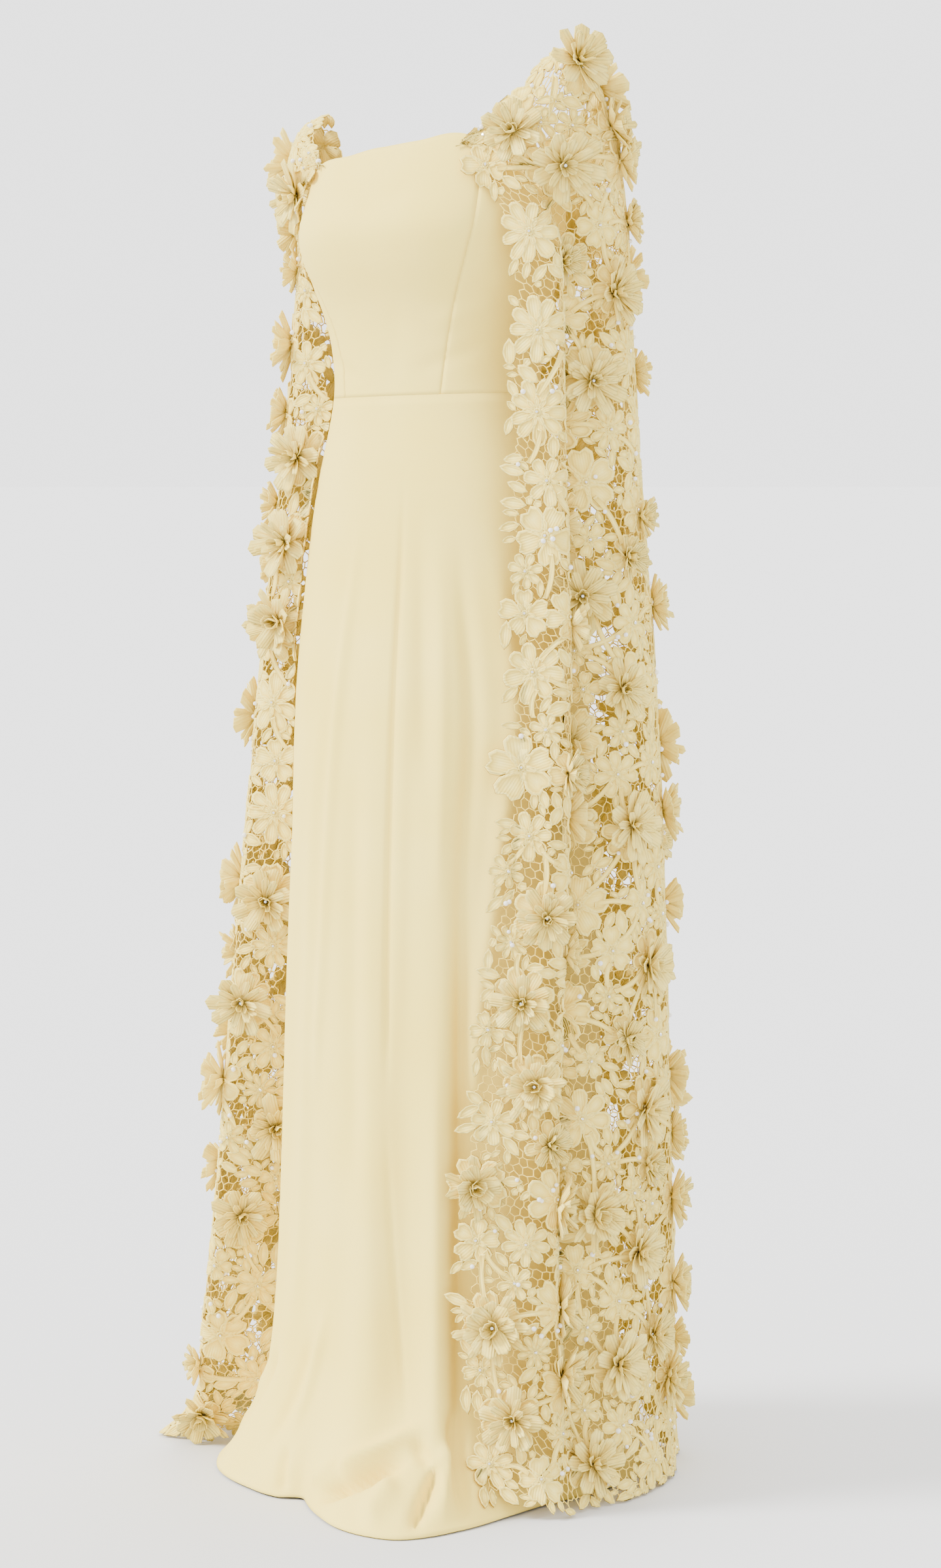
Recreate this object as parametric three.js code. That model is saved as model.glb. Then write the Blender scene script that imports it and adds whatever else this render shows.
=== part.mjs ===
// A floor-length cape gown, worn, with no wearer in it. The gown is a strapless column in smooth
// crepe: a bodice of princess panels sewn at the waist to a long skirt that breaks on the floor.
// The cape is heavy guipure lace: a shaped yoke over each shoulder, and four long panels that hang
// from the yokes and from the back of the bodice down to the floor, open in front.
//
// Millimetres, +Z up. The wearer faces -Y and the wearer's left hand is on +X. Heights in the tables
// are above the floor, and the whole is lowered at the end, so that the origin lies midway between
// the shoulders, where the wearer holds the garment up. Angles are in degrees about the standing
// axis, 0 at the centre front and positive towards the wearer's left.
import * as THREE from "three";

const SHOULDER_HEIGHT = 1528; // the shoulders above the floor, and so the origin's height
const WAIST_HEIGHT = 1190; // the seam between bodice and skirt
const CREPE_WALL = 1.6;
const LACE_WALL = 2.0;
const SEAM_GAP = 0.3; // between two pieces that are sewn together
const YOKE_SEAM_GAP = 0.5; // between a yoke and the cape below it
const HEM_HEIGHT = 0.2; // the lowest cloth above the floor

const CREPE_COLOUR = 0xf7e8c4;
const LACE_COLOUR = 0xe9d6a6;

// The gown as if cut level through the body: its half width, its depth in front of the axis and
// behind it, and how square it is (2 is an ellipse).
const BODY_SECTIONS = [
  { height: 0, halfWidth: 214, front: 202, back: 216, square: 2.1 },
  { height: 85, halfWidth: 196, front: 178, back: 192, square: 2.1 },
  { height: 160, halfWidth: 186, front: 164, back: 178, square: 2.15 },
  { height: 271, halfWidth: 180, front: 155, back: 165, square: 2.2 },
  { height: 600, halfWidth: 174, front: 146, back: 152, square: 2.2 },
  { height: 850, halfWidth: 168, front: 132, back: 142, square: 2.2 },
  { height: 1010, halfWidth: 156, front: 113, back: 128, square: 2.2 },
  { height: 1100, halfWidth: 142, front: 104, back: 108, square: 2.2 },
  { height: 1190, halfWidth: 122, front: 94, back: 84, square: 2.2 },
  { height: 1245, halfWidth: 123, front: 98, back: 87, square: 2.2 },
  { height: 1285, halfWidth: 130, front: 108, back: 93, square: 2.3 },
  { height: 1335, halfWidth: 140, front: 131, back: 99, square: 2.55 },
  { height: 1370, halfWidth: 144, front: 137, back: 99, square: 2.6 },
  { height: 1410, halfWidth: 147, front: 120, back: 95, square: 2.4 },
  { height: 1460, halfWidth: 150, front: 93, back: 86, square: 2.2 },
];

// The top edge of the bodice: straight across the front, lower under the arms.
const TOP_EDGE = [
  { angle: 0, height: 1456 },
  { angle: 25, height: 1458 },
  { angle: 53, height: 1459 },
  { angle: 74, height: 1420 },
  { angle: 95, height: 1398 },
  { angle: 125, height: 1432 },
  { angle: 180, height: 1444 },
];

// Where the princess seams run, from the waist to the top edge.
const PRINCESS_SEAM = [
  { height: 1190, angle: 39 },
  { height: 1320, angle: 48 },
  { height: 1450, angle: 59 },
];
const SIDE_SEAM_ANGLE = 92;

// The wearer stands with the left shoulder up: the rise in height for each millimetre towards +X.
const LEAN = [
  { height: 0, rise: 0 },
  { height: 950, rise: 0 },
  { height: 1190, rise: 0.03 },
  { height: 1440, rise: 0.065 },
  { height: 1530, rise: 0.18 },
];

// Soft folds that fall from the hip, as troughs and ridges of the skirt's front and back. Drift is
// how far each moves round by the hem, depth is at the hem, outwards if positive.
const SKIRT_FOLDS = [
  { angle: 4, drift: 6, width: 9, depth: 13 },
  { angle: 22, drift: 4, width: 8, depth: -9 },
  { angle: 36, drift: 3, width: 8, depth: 9 },
  { angle: 53, drift: -3, width: 9, depth: -20 },
  { angle: -22, drift: -4, width: 10, depth: -7 },
  { angle: -40, drift: -8, width: 9, depth: 9 },
  { angle: -70, drift: -4, width: 12, depth: -8 },
  { angle: 100, drift: 5, width: 12, depth: -10 },
  { angle: 132, drift: 3, width: 11, depth: 12 },
  { angle: 160, drift: 2, width: 10, depth: -12 },
  { angle: -112, drift: -5, width: 12, depth: 10 },
  { angle: -142, drift: -4, width: 11, depth: -12 },
  { angle: -168, drift: -2, width: 10, depth: 12 },
];
const FOLD_START_HEIGHT = 1080;

// How far from the axis the hem lies on the floor, where the skirt's spare length breaks.
const HEM_REACH = [
  { angle: -180, reach: 252 },
  { angle: -135, reach: 258 },
  { angle: -100, reach: 268 },
  { angle: -76, reach: 273 },
  { angle: -56, reach: 246 },
  { angle: -38, reach: 212 },
  { angle: -24, reach: 184 },
  { angle: -12, reach: 198 },
  { angle: 3, reach: 226 },
  { angle: 18, reach: 276 },
  { angle: 27, reach: 290 },
  { angle: 37, reach: 256 },
  { angle: 56, reach: 212 },
  { angle: 72, reach: 207 },
  { angle: 90, reach: 206 },
  { angle: 120, reach: 218 },
  { angle: 150, reach: 236 },
  { angle: 180, reach: 252 },
];
const BREAK_HEIGHT = 170; // the skirt starts to turn outwards this far above the floor
const BREAK_SHARPNESS = 3.2;

// The lower edge of each yoke and the top of the cape's panels, from the front corner of the
// neckline round the arm to the back corner, and on to the centre back.
const YOKE_SEAM = [
  { angle: 53, reach: 120, height: 1446 },
  { angle: 64, reach: 158, height: 1433 },
  { angle: 75, reach: 186, height: 1434 },
  { angle: 90, reach: 207, height: 1445 },
  { angle: 105, reach: 209, height: 1448 },
  { angle: 118, reach: 178, height: 1441 },
  { angle: 130, reach: 122, height: 1434 },
  { angle: 150, reach: 90, height: 1432 },
  { angle: 180, reach: 80, height: 1434 },
];
const YOKE_START_ANGLE = 53;

// The yoke over the left shoulder: its neck edge, and the crown that rounds it over the shoulder.
const YOKE_RIBS = [
  { along: 0, neck: [99, -75, 1458], crown: [99, -75, 1452] },
  { along: 0.22, neck: [136, -48, 1489], crown: [157, -62, 1466] },
  { along: 0.5, neck: [163, 8, 1528], crown: [212, 8, 1534] },
  { along: 0.78, neck: [144, 62, 1489], crown: [182, 80, 1484] },
  { along: 1, neck: [90, 72, 1441], crown: [90, 72, 1438] },
];

// The cape's folds from the left front edge round the back to the right front edge. Each is a
// ridge, a trough or an edge; angle is the one at the bust, atShin and atHem are its angles lower
// down, and the other columns are its reach from the axis at each level.
const FOLD_COLUMNS = ["at", "angle", "atShin", "atHem", "bust", "waist", "thigh", "shin", "hem"];
const CAPE_FOLDS = [
  ["left edge", 65, 44, 50, 172, 170, 188, 190, 214],
  ["left face", 70, 54, 58, 190, 190, 200, 204, 224],
  ["left front", 76, 68, 67, 204, 212, 224, 226, 242],
  ["left valley", 83, 77, 78, 186, 190, 204, 212, 228],
  ["left arm", 96, 97, 97, 210, 218, 242, 238, 237],
  ["left elbow", 112, 119, 124, 212, 220, 247, 258, 249],
  ["left seam", 131, 134, 136, 170, 192, 220, 248, 260],
  ["left back", 146, 147, 147, 146, 184, 234, 274, 285],
  ["left hollow", 163, 163, 162, 122, 148, 198, 248, 272],
  ["centre back", 180, 180, 180, 126, 158, 216, 274, 298],
  ["right hollow", 197, 197, 198, 122, 148, 198, 248, 272],
  ["right back", 214, 214, 214, 146, 186, 238, 288, 310],
  ["right seam", 229, 229, 229, 170, 194, 232, 270, 292],
  ["right elbow", 255, 252, 252, 198, 208, 258, 300, 350],
  ["right arm", 277, 284, 276, 178, 190, 236, 268, 372],
  ["right front", 289, 297, 281, 160, 170, 213, 250, 338],
  ["right edge", 294, 288, 275, 146, 124, 170, 184, 280],
].map((row) => Object.fromEntries(FOLD_COLUMNS.map((column, k) => [column, row[k]])));
const TURN_BY_THIGH = 0.15; // the share of a fold's turn that it has made by the thigh
const CAPE_LEVELS = { bust: 1345, waist: 1190, thigh: 800, shin: 280 };
const LEFT_VALLEY = 3; // the folds at which the panels are sewn together
const LEFT_SIDE_BACK = 6;
const RIGHT_SIDE_BACK = 12;
const LAST_FOLD = CAPE_FOLDS.length - 1;
// The cape's hem above the floor: its left front corner rests on the skirt's hem.
const CAPE_HEM_HEIGHT = [
  { fold: 0, height: 17 },
  { fold: 1.2, height: 13 },
  { fold: 2.4, height: HEM_HEIGHT },
  { fold: 16, height: HEM_HEIGHT },
];
const CAPE_CLEARANCE = 5; // from the gown's outer face to the cape's, where it hangs over the gown
const SEWN_CLEARANCE = LACE_WALL + 0.8; // the same where it is sewn on
const CAPE_TOE_HEIGHT = 90; // the cape starts to turn outwards on the floor here

const radians = THREE.MathUtils.degToRad;

// A smooth function through a table's rows: value against key, by cubic pieces whose slopes are
// those of the neighbouring rows.
function smooth(rows, key, value) {
  const at = rows.map((row) => row[key]);
  const y = rows.map((row) => row[value]);
  const slope = y.map((_, i) => {
    const before = Math.max(i - 1, 0);
    const after = Math.min(i + 1, y.length - 1);
    return (y[after] - y[before]) / (at[after] - at[before]);
  });
  return (x) => {
    if (x <= at[0]) return y[0];
    if (x >= at[at.length - 1]) return y[y.length - 1];
    const i = at.findIndex((a) => a > x) - 1;
    const span = at[i + 1] - at[i];
    const t = (x - at[i]) / span;
    const rise = y[i + 1] - y[i];
    const start = slope[i] * span;
    const end = slope[i + 1] * span;
    return y[i] + t * (start + t * (3 * rise - 2 * start - end + t * (start + end - 2 * rise)));
  };
}

const halfWidthAt = smooth(BODY_SECTIONS, "height", "halfWidth");
const frontAt = smooth(BODY_SECTIONS, "height", "front");
const backAt = smooth(BODY_SECTIONS, "height", "back");
const squareAt = smooth(BODY_SECTIONS, "height", "square");
const topEdgeAt = smooth(TOP_EDGE, "angle", "height");
const princessAt = smooth(PRINCESS_SEAM, "height", "angle");
const riseAt = smooth(LEAN, "height", "rise");
const hemReachAt = smooth(HEM_REACH, "angle", "reach");
const hungSeamReachAt = smooth(YOKE_SEAM, "angle", "reach");
const seamHeightAt = smooth(YOKE_SEAM, "angle", "height");
const capeHemHeightAt = smooth(CAPE_HEM_HEIGHT, "fold", "height");

// A point at that angle, reach and height, leaned with the wearer.
function posed(angle, reach, height) {
  const x = reach * Math.sin(radians(angle));
  const y = -reach * Math.cos(radians(angle));
  return new THREE.Vector3(x, y, height + x * riseAt(height));
}

// The reach of the plain body section in a direction.
function sectionReach(angle, height) {
  const across = Math.abs(Math.sin(radians(angle))) / halfWidthAt(height);
  const front = Math.cos(radians(angle)) > 0;
  const along = Math.abs(Math.cos(radians(angle))) / (front ? frontAt(height) : backAt(height));
  const power = squareAt(height);
  return (across ** power + along ** power) ** (-1 / power);
}

// How far out the yoke seam lies. Where it is sewn to the bodice it lies against it.
function seamReachAt(angle) {
  const onBodice = sectionReach(angle, seamHeightAt(angle)) + SEWN_CLEARANCE;
  return Math.max(hungSeamReachAt(angle), onBodice);
}

const wrapped = (angle) => ((((angle + 180) % 360) + 360) % 360) - 180;

// The skirt's reach: the body, its folds, and the break on the floor.
function skirtReach(angle, height) {
  const fallen = THREE.MathUtils.clamp(1 - height / FOLD_START_HEIGHT, 0, 1);
  let reach = sectionReach(angle, height);
  for (const fold of SKIRT_FOLDS) {
    const off = wrapped(angle - fold.angle - fold.drift * fallen) / fold.width;
    reach += fold.depth * fallen ** 1.3 * Math.exp(-off * off);
  }
  const broken = THREE.MathUtils.clamp(1 - height / BREAK_HEIGHT, 0, 1) ** BREAK_SHARPNESS;
  return reach + (hemReachAt(wrapped(angle)) - reach) * broken;
}

const gownReach = (angle, height) =>
  height < WAIST_HEIGHT ? skirtReach(angle, height) : sectionReach(angle, height);

// The same point, or the nearest further out that clears the gown.
function outsideGown(point) {
  const height = point.z - point.x * riseAt(point.z);
  const angle = THREE.MathUtils.radToDeg(Math.atan2(point.x, -point.y));
  const least = gownReach(angle, height) + SEWN_CLEARANCE - LACE_WALL;
  return Math.hypot(point.x, point.y) < least ? posed(angle, least, height) : point;
}

// A wall of cloth: point(u, v) is its outer face for u and v from 0 to 1, and the inner face lies
// one thickness behind it. u runs anticlockwise as seen from above, v runs down. At a level rim the
// inner face lies straight behind the outer, so that the next piece can start just below it. Each
// point of the inner face is passed through settle.
function wall(name, point, columns, rows, thickness, colour, levelRim = -1, settle = (p) => p) {
  const outer = [];
  const inner = [];
  const step = 1e-3;
  for (let i = 0; i <= columns; i++)
    for (let j = 0; j <= rows.length - 1; j++) {
      const u = i / columns;
      const v = rows[j];
      const here = point(u, v);
      const alongU = point(Math.min(u + step, 1), v).sub(point(Math.max(u - step, 0), v));
      const alongV = point(u, Math.min(v + step, 1)).sub(point(u, Math.max(v - step, 0)));
      const outward = alongV.cross(alongU);
      if (v === levelRim) outward.z = 0;
      outward.normalize();
      outer.push(here);
      inner.push(settle(here.clone().addScaledVector(outward, -thickness)));
    }
  const perColumn = rows.length;
  const innerStart = outer.length;
  const index = [];
  const quad = (a, b, c, d) => index.push(a, b, c, a, c, d);
  const at = (i, j) => i * perColumn + j;
  for (let i = 0; i < columns; i++)
    for (let j = 0; j < perColumn - 1; j++) {
      quad(at(i, j), at(i, j + 1), at(i + 1, j + 1), at(i + 1, j));
      quad(
        innerStart + at(i, j),
        innerStart + at(i + 1, j),
        innerStart + at(i + 1, j + 1),
        innerStart + at(i, j + 1),
      );
    }
  const rim = [];
  for (let j = 0; j < perColumn - 1; j++) rim.push(at(0, j));
  for (let i = 0; i < columns; i++) rim.push(at(i, perColumn - 1));
  for (let j = perColumn - 1; j > 0; j--) rim.push(at(columns, j));
  for (let i = columns; i > 0; i--) rim.push(at(i, 0));
  rim.forEach((here, k) => {
    const next = rim[(k + 1) % rim.length];
    quad(here, innerStart + here, innerStart + next, next);
  });
  const points = outer.concat(inner);
  const geometry = new THREE.BufferGeometry().setFromPoints(points).setIndex(index);
  geometry.computeVertexNormals();
  const material = new THREE.MeshStandardMaterial({ color: colour, roughness: 0.85, metalness: 0 });
  const mesh = new THREE.Mesh(geometry, material);
  mesh.name = name;
  return mesh;
}

const evenly = (count) => Array.from({ length: count + 1 }, (_, k) => k / count);

// The angle at a share of the way round a section, leaving half a seam gap at each end.
function between(start, end, share, reach) {
  const gap = THREE.MathUtils.radToDeg(SEAM_GAP / 2 / reach);
  return THREE.MathUtils.lerp(start + gap, end - gap, share);
}

// A bodice panel between two seams, each an angle at a height.
function bodicePanel(name, startSeam, endSeam, columns) {
  const bottom = WAIST_HEIGHT + SEAM_GAP / 2;
  const point = (u, v) => {
    // The top edge depends on the angle and the seams on the height, so two passes settle both.
    let height = THREE.MathUtils.lerp(topEdgeAt(Math.abs(startSeam(1400))), bottom, v);
    let angle = 0;
    for (let pass = 0; pass < 4; pass++) {
      angle = between(startSeam(height), endSeam(height), u, sectionReach(startSeam(height), height));
      height = THREE.MathUtils.lerp(topEdgeAt(Math.abs(wrapped(angle))), bottom, v);
    }
    return posed(angle, sectionReach(angle, height), height);
  };
  return wall(name, point, columns, evenly(9), CREPE_WALL, CREPE_COLOUR);
}

// A skirt panel between two fixed seams. Its rows lie closer together where it breaks on the floor.
function skirtPanel(name, start, end, columns) {
  const top = WAIST_HEIGHT - SEAM_GAP / 2;
  const heights = [top, 1130, 1010, 850, 680, 500, 320, 190, 110, 60, 26, HEM_HEIGHT];
  const rows = heights.map((height) => (top - height) / (top - HEM_HEIGHT));
  const point = (u, v) => {
    const height = THREE.MathUtils.lerp(top, HEM_HEIGHT, v);
    const angle = between(start, end, u, halfWidthAt(height));
    return posed(angle, skirtReach(angle, height), height);
  };
  return wall(name, point, columns, rows, CREPE_WALL, CREPE_COLOUR);
}

// The cape's surface at a place along its folds and down its length. Down is 0 at the yoke seam.
const foldRows = CAPE_FOLDS.map((fold, k) => ({ ...fold, fold: k }));
const foldColumn = (column) => smooth(foldRows, "fold", column);
const foldAngleAt = foldColumn("angle");
const foldShinAngleAt = foldColumn("atShin");
const foldHemAngleAt = foldColumn("atHem");
const reachAtLevel = {};
for (const level of ["bust", "waist", "thigh", "shin", "hem"]) reachAtLevel[level] = foldColumn(level);

// The seam's own angle for each fold: the outer folds draw in so that the cape starts on the yokes.
function seamAngle(fold) {
  const half = LAST_FOLD / 2;
  const fromFront = fold <= half ? foldAngleAt(fold) : 360 - foldAngleAt(fold);
  const edge = fold <= half ? CAPE_FOLDS[0].angle : 360 - CAPE_FOLDS[LAST_FOLD].angle;
  const drawn = THREE.MathUtils.mapLinear(fromFront, edge, 180, YOKE_START_ANGLE, 180);
  return fold <= half ? drawn : 360 - drawn;
}

const foldTurn = (fold) => foldAngleAt(fold) - foldShinAngleAt(fold);

function capePoint(fold, down) {
  const top = seamAngle(fold);
  const topFromFront = Math.abs(wrapped(top));
  const seamHeight = seamHeightAt(topFromFront) - YOKE_SEAM_GAP;
  const hemHeight = capeHemHeightAt(fold);
  const height = THREE.MathUtils.lerp(seamHeight, hemHeight, down);
  const settled = THREE.MathUtils.smoothstep(seamHeight - height, 0, seamHeight - CAPE_LEVELS.bust);
  const turns = [
    { height: 0, angle: foldHemAngleAt(fold) },
    { height: CAPE_LEVELS.shin, angle: foldShinAngleAt(fold) },
    { height: CAPE_LEVELS.thigh, angle: foldAngleAt(fold) - TURN_BY_THIGH * foldTurn(fold) },
    { height: CAPE_LEVELS.bust, angle: foldAngleAt(fold) },
  ];
  const hung = smooth(turns, "height", "angle")(height);
  const angle = THREE.MathUtils.lerp(top, hung, settled);
  const shin = reachAtLevel.shin(fold);
  const stations = [
    { height: CAPE_TOE_HEIGHT, reach: shin + (reachAtLevel.hem(fold) - shin) * 0.35 },
    { height: CAPE_LEVELS.shin, reach: shin },
    { height: CAPE_LEVELS.thigh, reach: reachAtLevel.thigh(fold) },
    { height: CAPE_LEVELS.waist, reach: reachAtLevel.waist(fold) },
    { height: CAPE_LEVELS.bust, reach: reachAtLevel.bust(fold) },
    { height: seamHeight, reach: seamReachAt(topFromFront) },
  ];
  let reach = smooth(stations, "height", "reach")(height);
  if (height < CAPE_TOE_HEIGHT) {
    const toe = (1 - (height - hemHeight) / (CAPE_TOE_HEIGHT - hemHeight)) ** 2;
    reach = THREE.MathUtils.lerp(stations[0].reach, reachAtLevel.hem(fold), toe);
  }
  const loose = THREE.MathUtils.smoothstep(seamHeight - height, 0, 40);
  const clearance = THREE.MathUtils.lerp(SEWN_CLEARANCE, CAPE_CLEARANCE, loose);
  return posed(angle, Math.max(reach, gownReach(angle, height) + clearance), height);
}

function capePanel(name, startFold, endFold, columnsPerFold) {
  const rows = [0, 0.014, 0.035, 0.07, 0.12, 0.18, 0.26, 0.36, 0.47, 0.59, 0.71, 0.82, 0.9, 0.95, 0.98, 1];
  const foldWidth = 22; // the narrowest, in the left valley
  const gap = SEAM_GAP / 2 / foldWidth;
  const startGap = startFold > 0 ? gap : 0;
  const endGap = endFold < LAST_FOLD ? gap : 0;
  const point = (u, v) => capePoint(THREE.MathUtils.lerp(startFold + startGap, endFold - endGap, u), v);
  const columns = (endFold - startFold) * columnsPerFold;
  return wall(name, point, columns, rows, LACE_WALL, LACE_COLOUR, 0, outsideGown);
}

// A yoke: from its neck edge over the crown of the shoulder to its lower seam, which takes the
// cape's folds from its front corner to its back one.
function yoke(name, frontFold, backFold, columnsPerFold) {
  const rib = (part, axis) =>
    smooth(
      YOKE_RIBS.map((row) => ({ along: row.along, value: row[part][axis] })),
      "along",
      "value",
    );
  const neck = [0, 1, 2].map((axis) => rib("neck", axis));
  const crown = [0, 1, 2].map((axis) => rib("crown", axis));
  const side = frontFold < backFold ? 1 : -1;
  const point = (u, v) => {
    const along = side > 0 ? u : 1 - u;
    const angle = Math.abs(wrapped(seamAngle(THREE.MathUtils.lerp(frontFold, backFold, along))));
    const a = neck.map((f) => f(along));
    const b = crown.map((f) => f(along));
    const reach = seamReachAt(angle);
    const c = [reach * Math.sin(radians(angle)), -reach * Math.cos(radians(angle)), seamHeightAt(angle)];
    const [x, y, z] = a.map((_, k) => (1 - v) ** 2 * a[k] + 2 * v * (1 - v) * b[k] + v * v * c[k]);
    const pointAngle = THREE.MathUtils.radToDeg(Math.atan2(x, -y));
    const clear = sectionReach(pointAngle, z) + SEWN_CLEARANCE;
    return posed(side * pointAngle, Math.max(Math.hypot(x, y), clear), z);
  };
  const columns = Math.abs(backFold - frontFold) * columnsPerFold;
  return wall(name, point, columns, evenly(6), LACE_WALL, LACE_COLOUR, 1, outsideGown);
}

const gown = new THREE.Group();
gown.position.z = -SHOULDER_HEIGHT;

const fixed = (angle) => () => angle;
const leftPrincess = (height) => princessAt(height);
const rightPrincess = (height) => -princessAt(height);
gown.add(
  bodicePanel("bodice_front", rightPrincess, leftPrincess, 14),
  bodicePanel("bodice_side_front_left", leftPrincess, fixed(SIDE_SEAM_ANGLE), 6),
  bodicePanel("bodice_side_front_right", fixed(-SIDE_SEAM_ANGLE), rightPrincess, 6),
  bodicePanel("bodice_back_left", fixed(SIDE_SEAM_ANGLE), fixed(180), 8),
  bodicePanel("bodice_back_right", fixed(180), fixed(360 - SIDE_SEAM_ANGLE), 8),
  skirtPanel("skirt_front", -SIDE_SEAM_ANGLE, SIDE_SEAM_ANGLE, 32),
  skirtPanel("skirt_back_left", SIDE_SEAM_ANGLE, 180, 14),
  skirtPanel("skirt_back_right", 180, 360 - SIDE_SEAM_ANGLE, 14),
  yoke("yoke_left", 0, LEFT_SIDE_BACK, 3),
  yoke("yoke_right", LAST_FOLD, RIGHT_SIDE_BACK, 4),
  capePanel("cape_left_front", 0, LEFT_VALLEY, 3),
  capePanel("cape_left_side", LEFT_VALLEY, LEFT_SIDE_BACK, 3),
  capePanel("cape_back", LEFT_SIDE_BACK, RIGHT_SIDE_BACK, 3),
  capePanel("cape_right", RIGHT_SIDE_BACK, LAST_FOLD, 4),
);

export default gown;
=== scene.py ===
import math

import bpy
import numpy as np
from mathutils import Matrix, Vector


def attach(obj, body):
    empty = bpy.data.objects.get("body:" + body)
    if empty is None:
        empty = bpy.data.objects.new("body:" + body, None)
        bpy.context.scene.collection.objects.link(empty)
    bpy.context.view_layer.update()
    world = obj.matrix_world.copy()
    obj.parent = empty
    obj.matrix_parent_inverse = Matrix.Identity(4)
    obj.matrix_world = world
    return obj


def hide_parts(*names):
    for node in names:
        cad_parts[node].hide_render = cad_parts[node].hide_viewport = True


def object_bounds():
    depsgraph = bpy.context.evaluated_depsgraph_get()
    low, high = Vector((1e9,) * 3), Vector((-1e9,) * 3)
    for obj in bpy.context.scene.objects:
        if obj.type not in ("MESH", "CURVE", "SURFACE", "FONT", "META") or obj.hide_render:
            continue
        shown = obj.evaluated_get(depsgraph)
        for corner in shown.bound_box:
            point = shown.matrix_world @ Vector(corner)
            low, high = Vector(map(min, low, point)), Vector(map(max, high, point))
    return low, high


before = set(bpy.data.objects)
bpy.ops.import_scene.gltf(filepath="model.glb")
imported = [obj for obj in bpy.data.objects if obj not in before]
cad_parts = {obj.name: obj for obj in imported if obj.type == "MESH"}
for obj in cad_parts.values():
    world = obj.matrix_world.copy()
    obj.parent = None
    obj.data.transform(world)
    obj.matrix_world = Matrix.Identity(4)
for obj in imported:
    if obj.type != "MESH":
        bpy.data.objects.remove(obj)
cad_box = [list(corner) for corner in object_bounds()]

# The view of the gown: a camera at the height of its waist seam, ahead and to the wearer's left,
# that takes in the whole length. Every height below is in millimetres above the floor.
SHOULDER_HEIGHT = 1528.0
CAMERA_AZIMUTH = math.radians(38)
CAMERA_DISTANCE = 5.0
CAMERA_HEIGHT = 1190.0
AIM_RIGHT, AIM_DOWN = 0.0344, 0.4255

toward = Vector((math.sin(CAMERA_AZIMUTH), -math.cos(CAMERA_AZIMUTH), 0))
rightwards = Vector((math.cos(CAMERA_AZIMUTH), math.sin(CAMERA_AZIMUTH), 0))
camera = bpy.data.objects.new("camera", bpy.data.cameras.new("camera"))
camera.location = toward * CAMERA_DISTANCE + Vector((0, 0, (CAMERA_HEIGHT - SHOULDER_HEIGHT) / 1000))
aim = camera.location - toward * CAMERA_DISTANCE + rightwards * AIM_RIGHT - Vector((0, 0, AIM_DOWN))
camera.rotation_euler = (aim - camera.location).to_track_quat("-Z", "Y").to_euler()
camera.data.lens = 104.7
camera.data.sensor_width = 36
camera.data.clip_end = 60
bpy.context.scene.collection.objects.link(camera)
bpy.context.scene.camera = camera


# A studio floor, plain and pale, that lies just under the hems.
def put(name, mesh):
    """A new object of that mesh, at the origin, in the scene."""
    piece = bpy.data.objects.new(name, mesh)
    bpy.context.scene.collection.objects.link(piece)
    return piece


FLOOR_Z = cad_box[0][2] - 0.0004
FLOOR_HALF = 55.0
FLOOR_TONE = 0.63
floor_mesh = bpy.data.meshes.new("studio_floor")
floor_mesh.from_pydata(
    [(x * FLOOR_HALF, y * FLOOR_HALF, FLOOR_Z) for x, y in ((-1, -1), (1, -1), (1, 1), (-1, 1))],
    [],
    [(0, 1, 2, 3)],
)
studio_floor = put("studio_floor", floor_mesh)
floor_finish = bpy.data.materials.new("studio_floor")
floor_finish.use_nodes = True
floor_shader = floor_finish.node_tree.nodes["Principled BSDF"]
floor_shader.inputs["Base Color"].default_value = (FLOOR_TONE, FLOOR_TONE, FLOOR_TONE, 1)
floor_shader.inputs["Roughness"].default_value = 0.9
floor_mesh.materials.append(floor_finish)

# Soft studio light: one wide overhead bank to the gown's right, a weak one behind, and a pale room.
LIGHT_BANKS = (
    # name, azimuth, elevation, apparent width (degrees) and strength (W per square metre)
    ("key_bank", -40, 38, 20, 6.4),
    ("rear_bank", 196, 42, 40, 2.0),
)
ROOM_STRENGTH = 2.7
for name, azimuth, elevation, width, strength in LIGHT_BANKS:
    lamp = bpy.data.lights.new(name, "SUN")
    lamp.angle = math.radians(width)
    lamp.energy = strength
    bank = put(name, lamp)
    turn, rise = math.radians(azimuth), math.radians(elevation)
    away = Vector((math.cos(rise) * math.sin(turn), -math.cos(rise) * math.cos(turn), math.sin(rise)))
    bank.location = away * 6
    bank.rotation_euler = away.to_track_quat("Z", "Y").to_euler()
room = bpy.data.worlds.new("room")
room.use_nodes = True
room.node_tree.nodes["Background"].inputs["Color"].default_value = (1, 1, 1, 1)
room.node_tree.nodes["Background"].inputs["Strength"].default_value = ROOM_STRENGTH
bpy.context.scene.world = room


# The bodice: five boned panels of smooth butter crepe, cut to the figure and joined by princess
# and side seams and one at the centre back. Its top edge is turned in and stands straight across.
def columns(names, *rows):
    """A table from its column names and its rows, as one array for each column."""
    return dict(zip(names.split(), np.array(rows, dtype=float).T))


def smooth(table, key, value):
    """A cubic through a table's rows, with the slopes of the neighbouring rows."""
    x, y = table[key], table[value]
    order = np.arange(len(x))
    before, after = np.maximum(order - 1, 0), np.minimum(order + 1, len(x) - 1)
    slope = (y[after] - y[before]) / (x[after] - x[before])

    def at(query):
        q = np.clip(query, x[0], x[-1])
        k = np.clip(np.searchsorted(x, q, side="right") - 1, 0, len(x) - 2)
        span, rise = x[k + 1] - x[k], y[k + 1] - y[k]
        t = (q - x[k]) / span
        start, end = slope[k] * span, slope[k + 1] * span
        return y[k] + t * (start + t * (3 * rise - 2 * start - end + t * (start + end - 2 * rise)))

    return at


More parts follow.
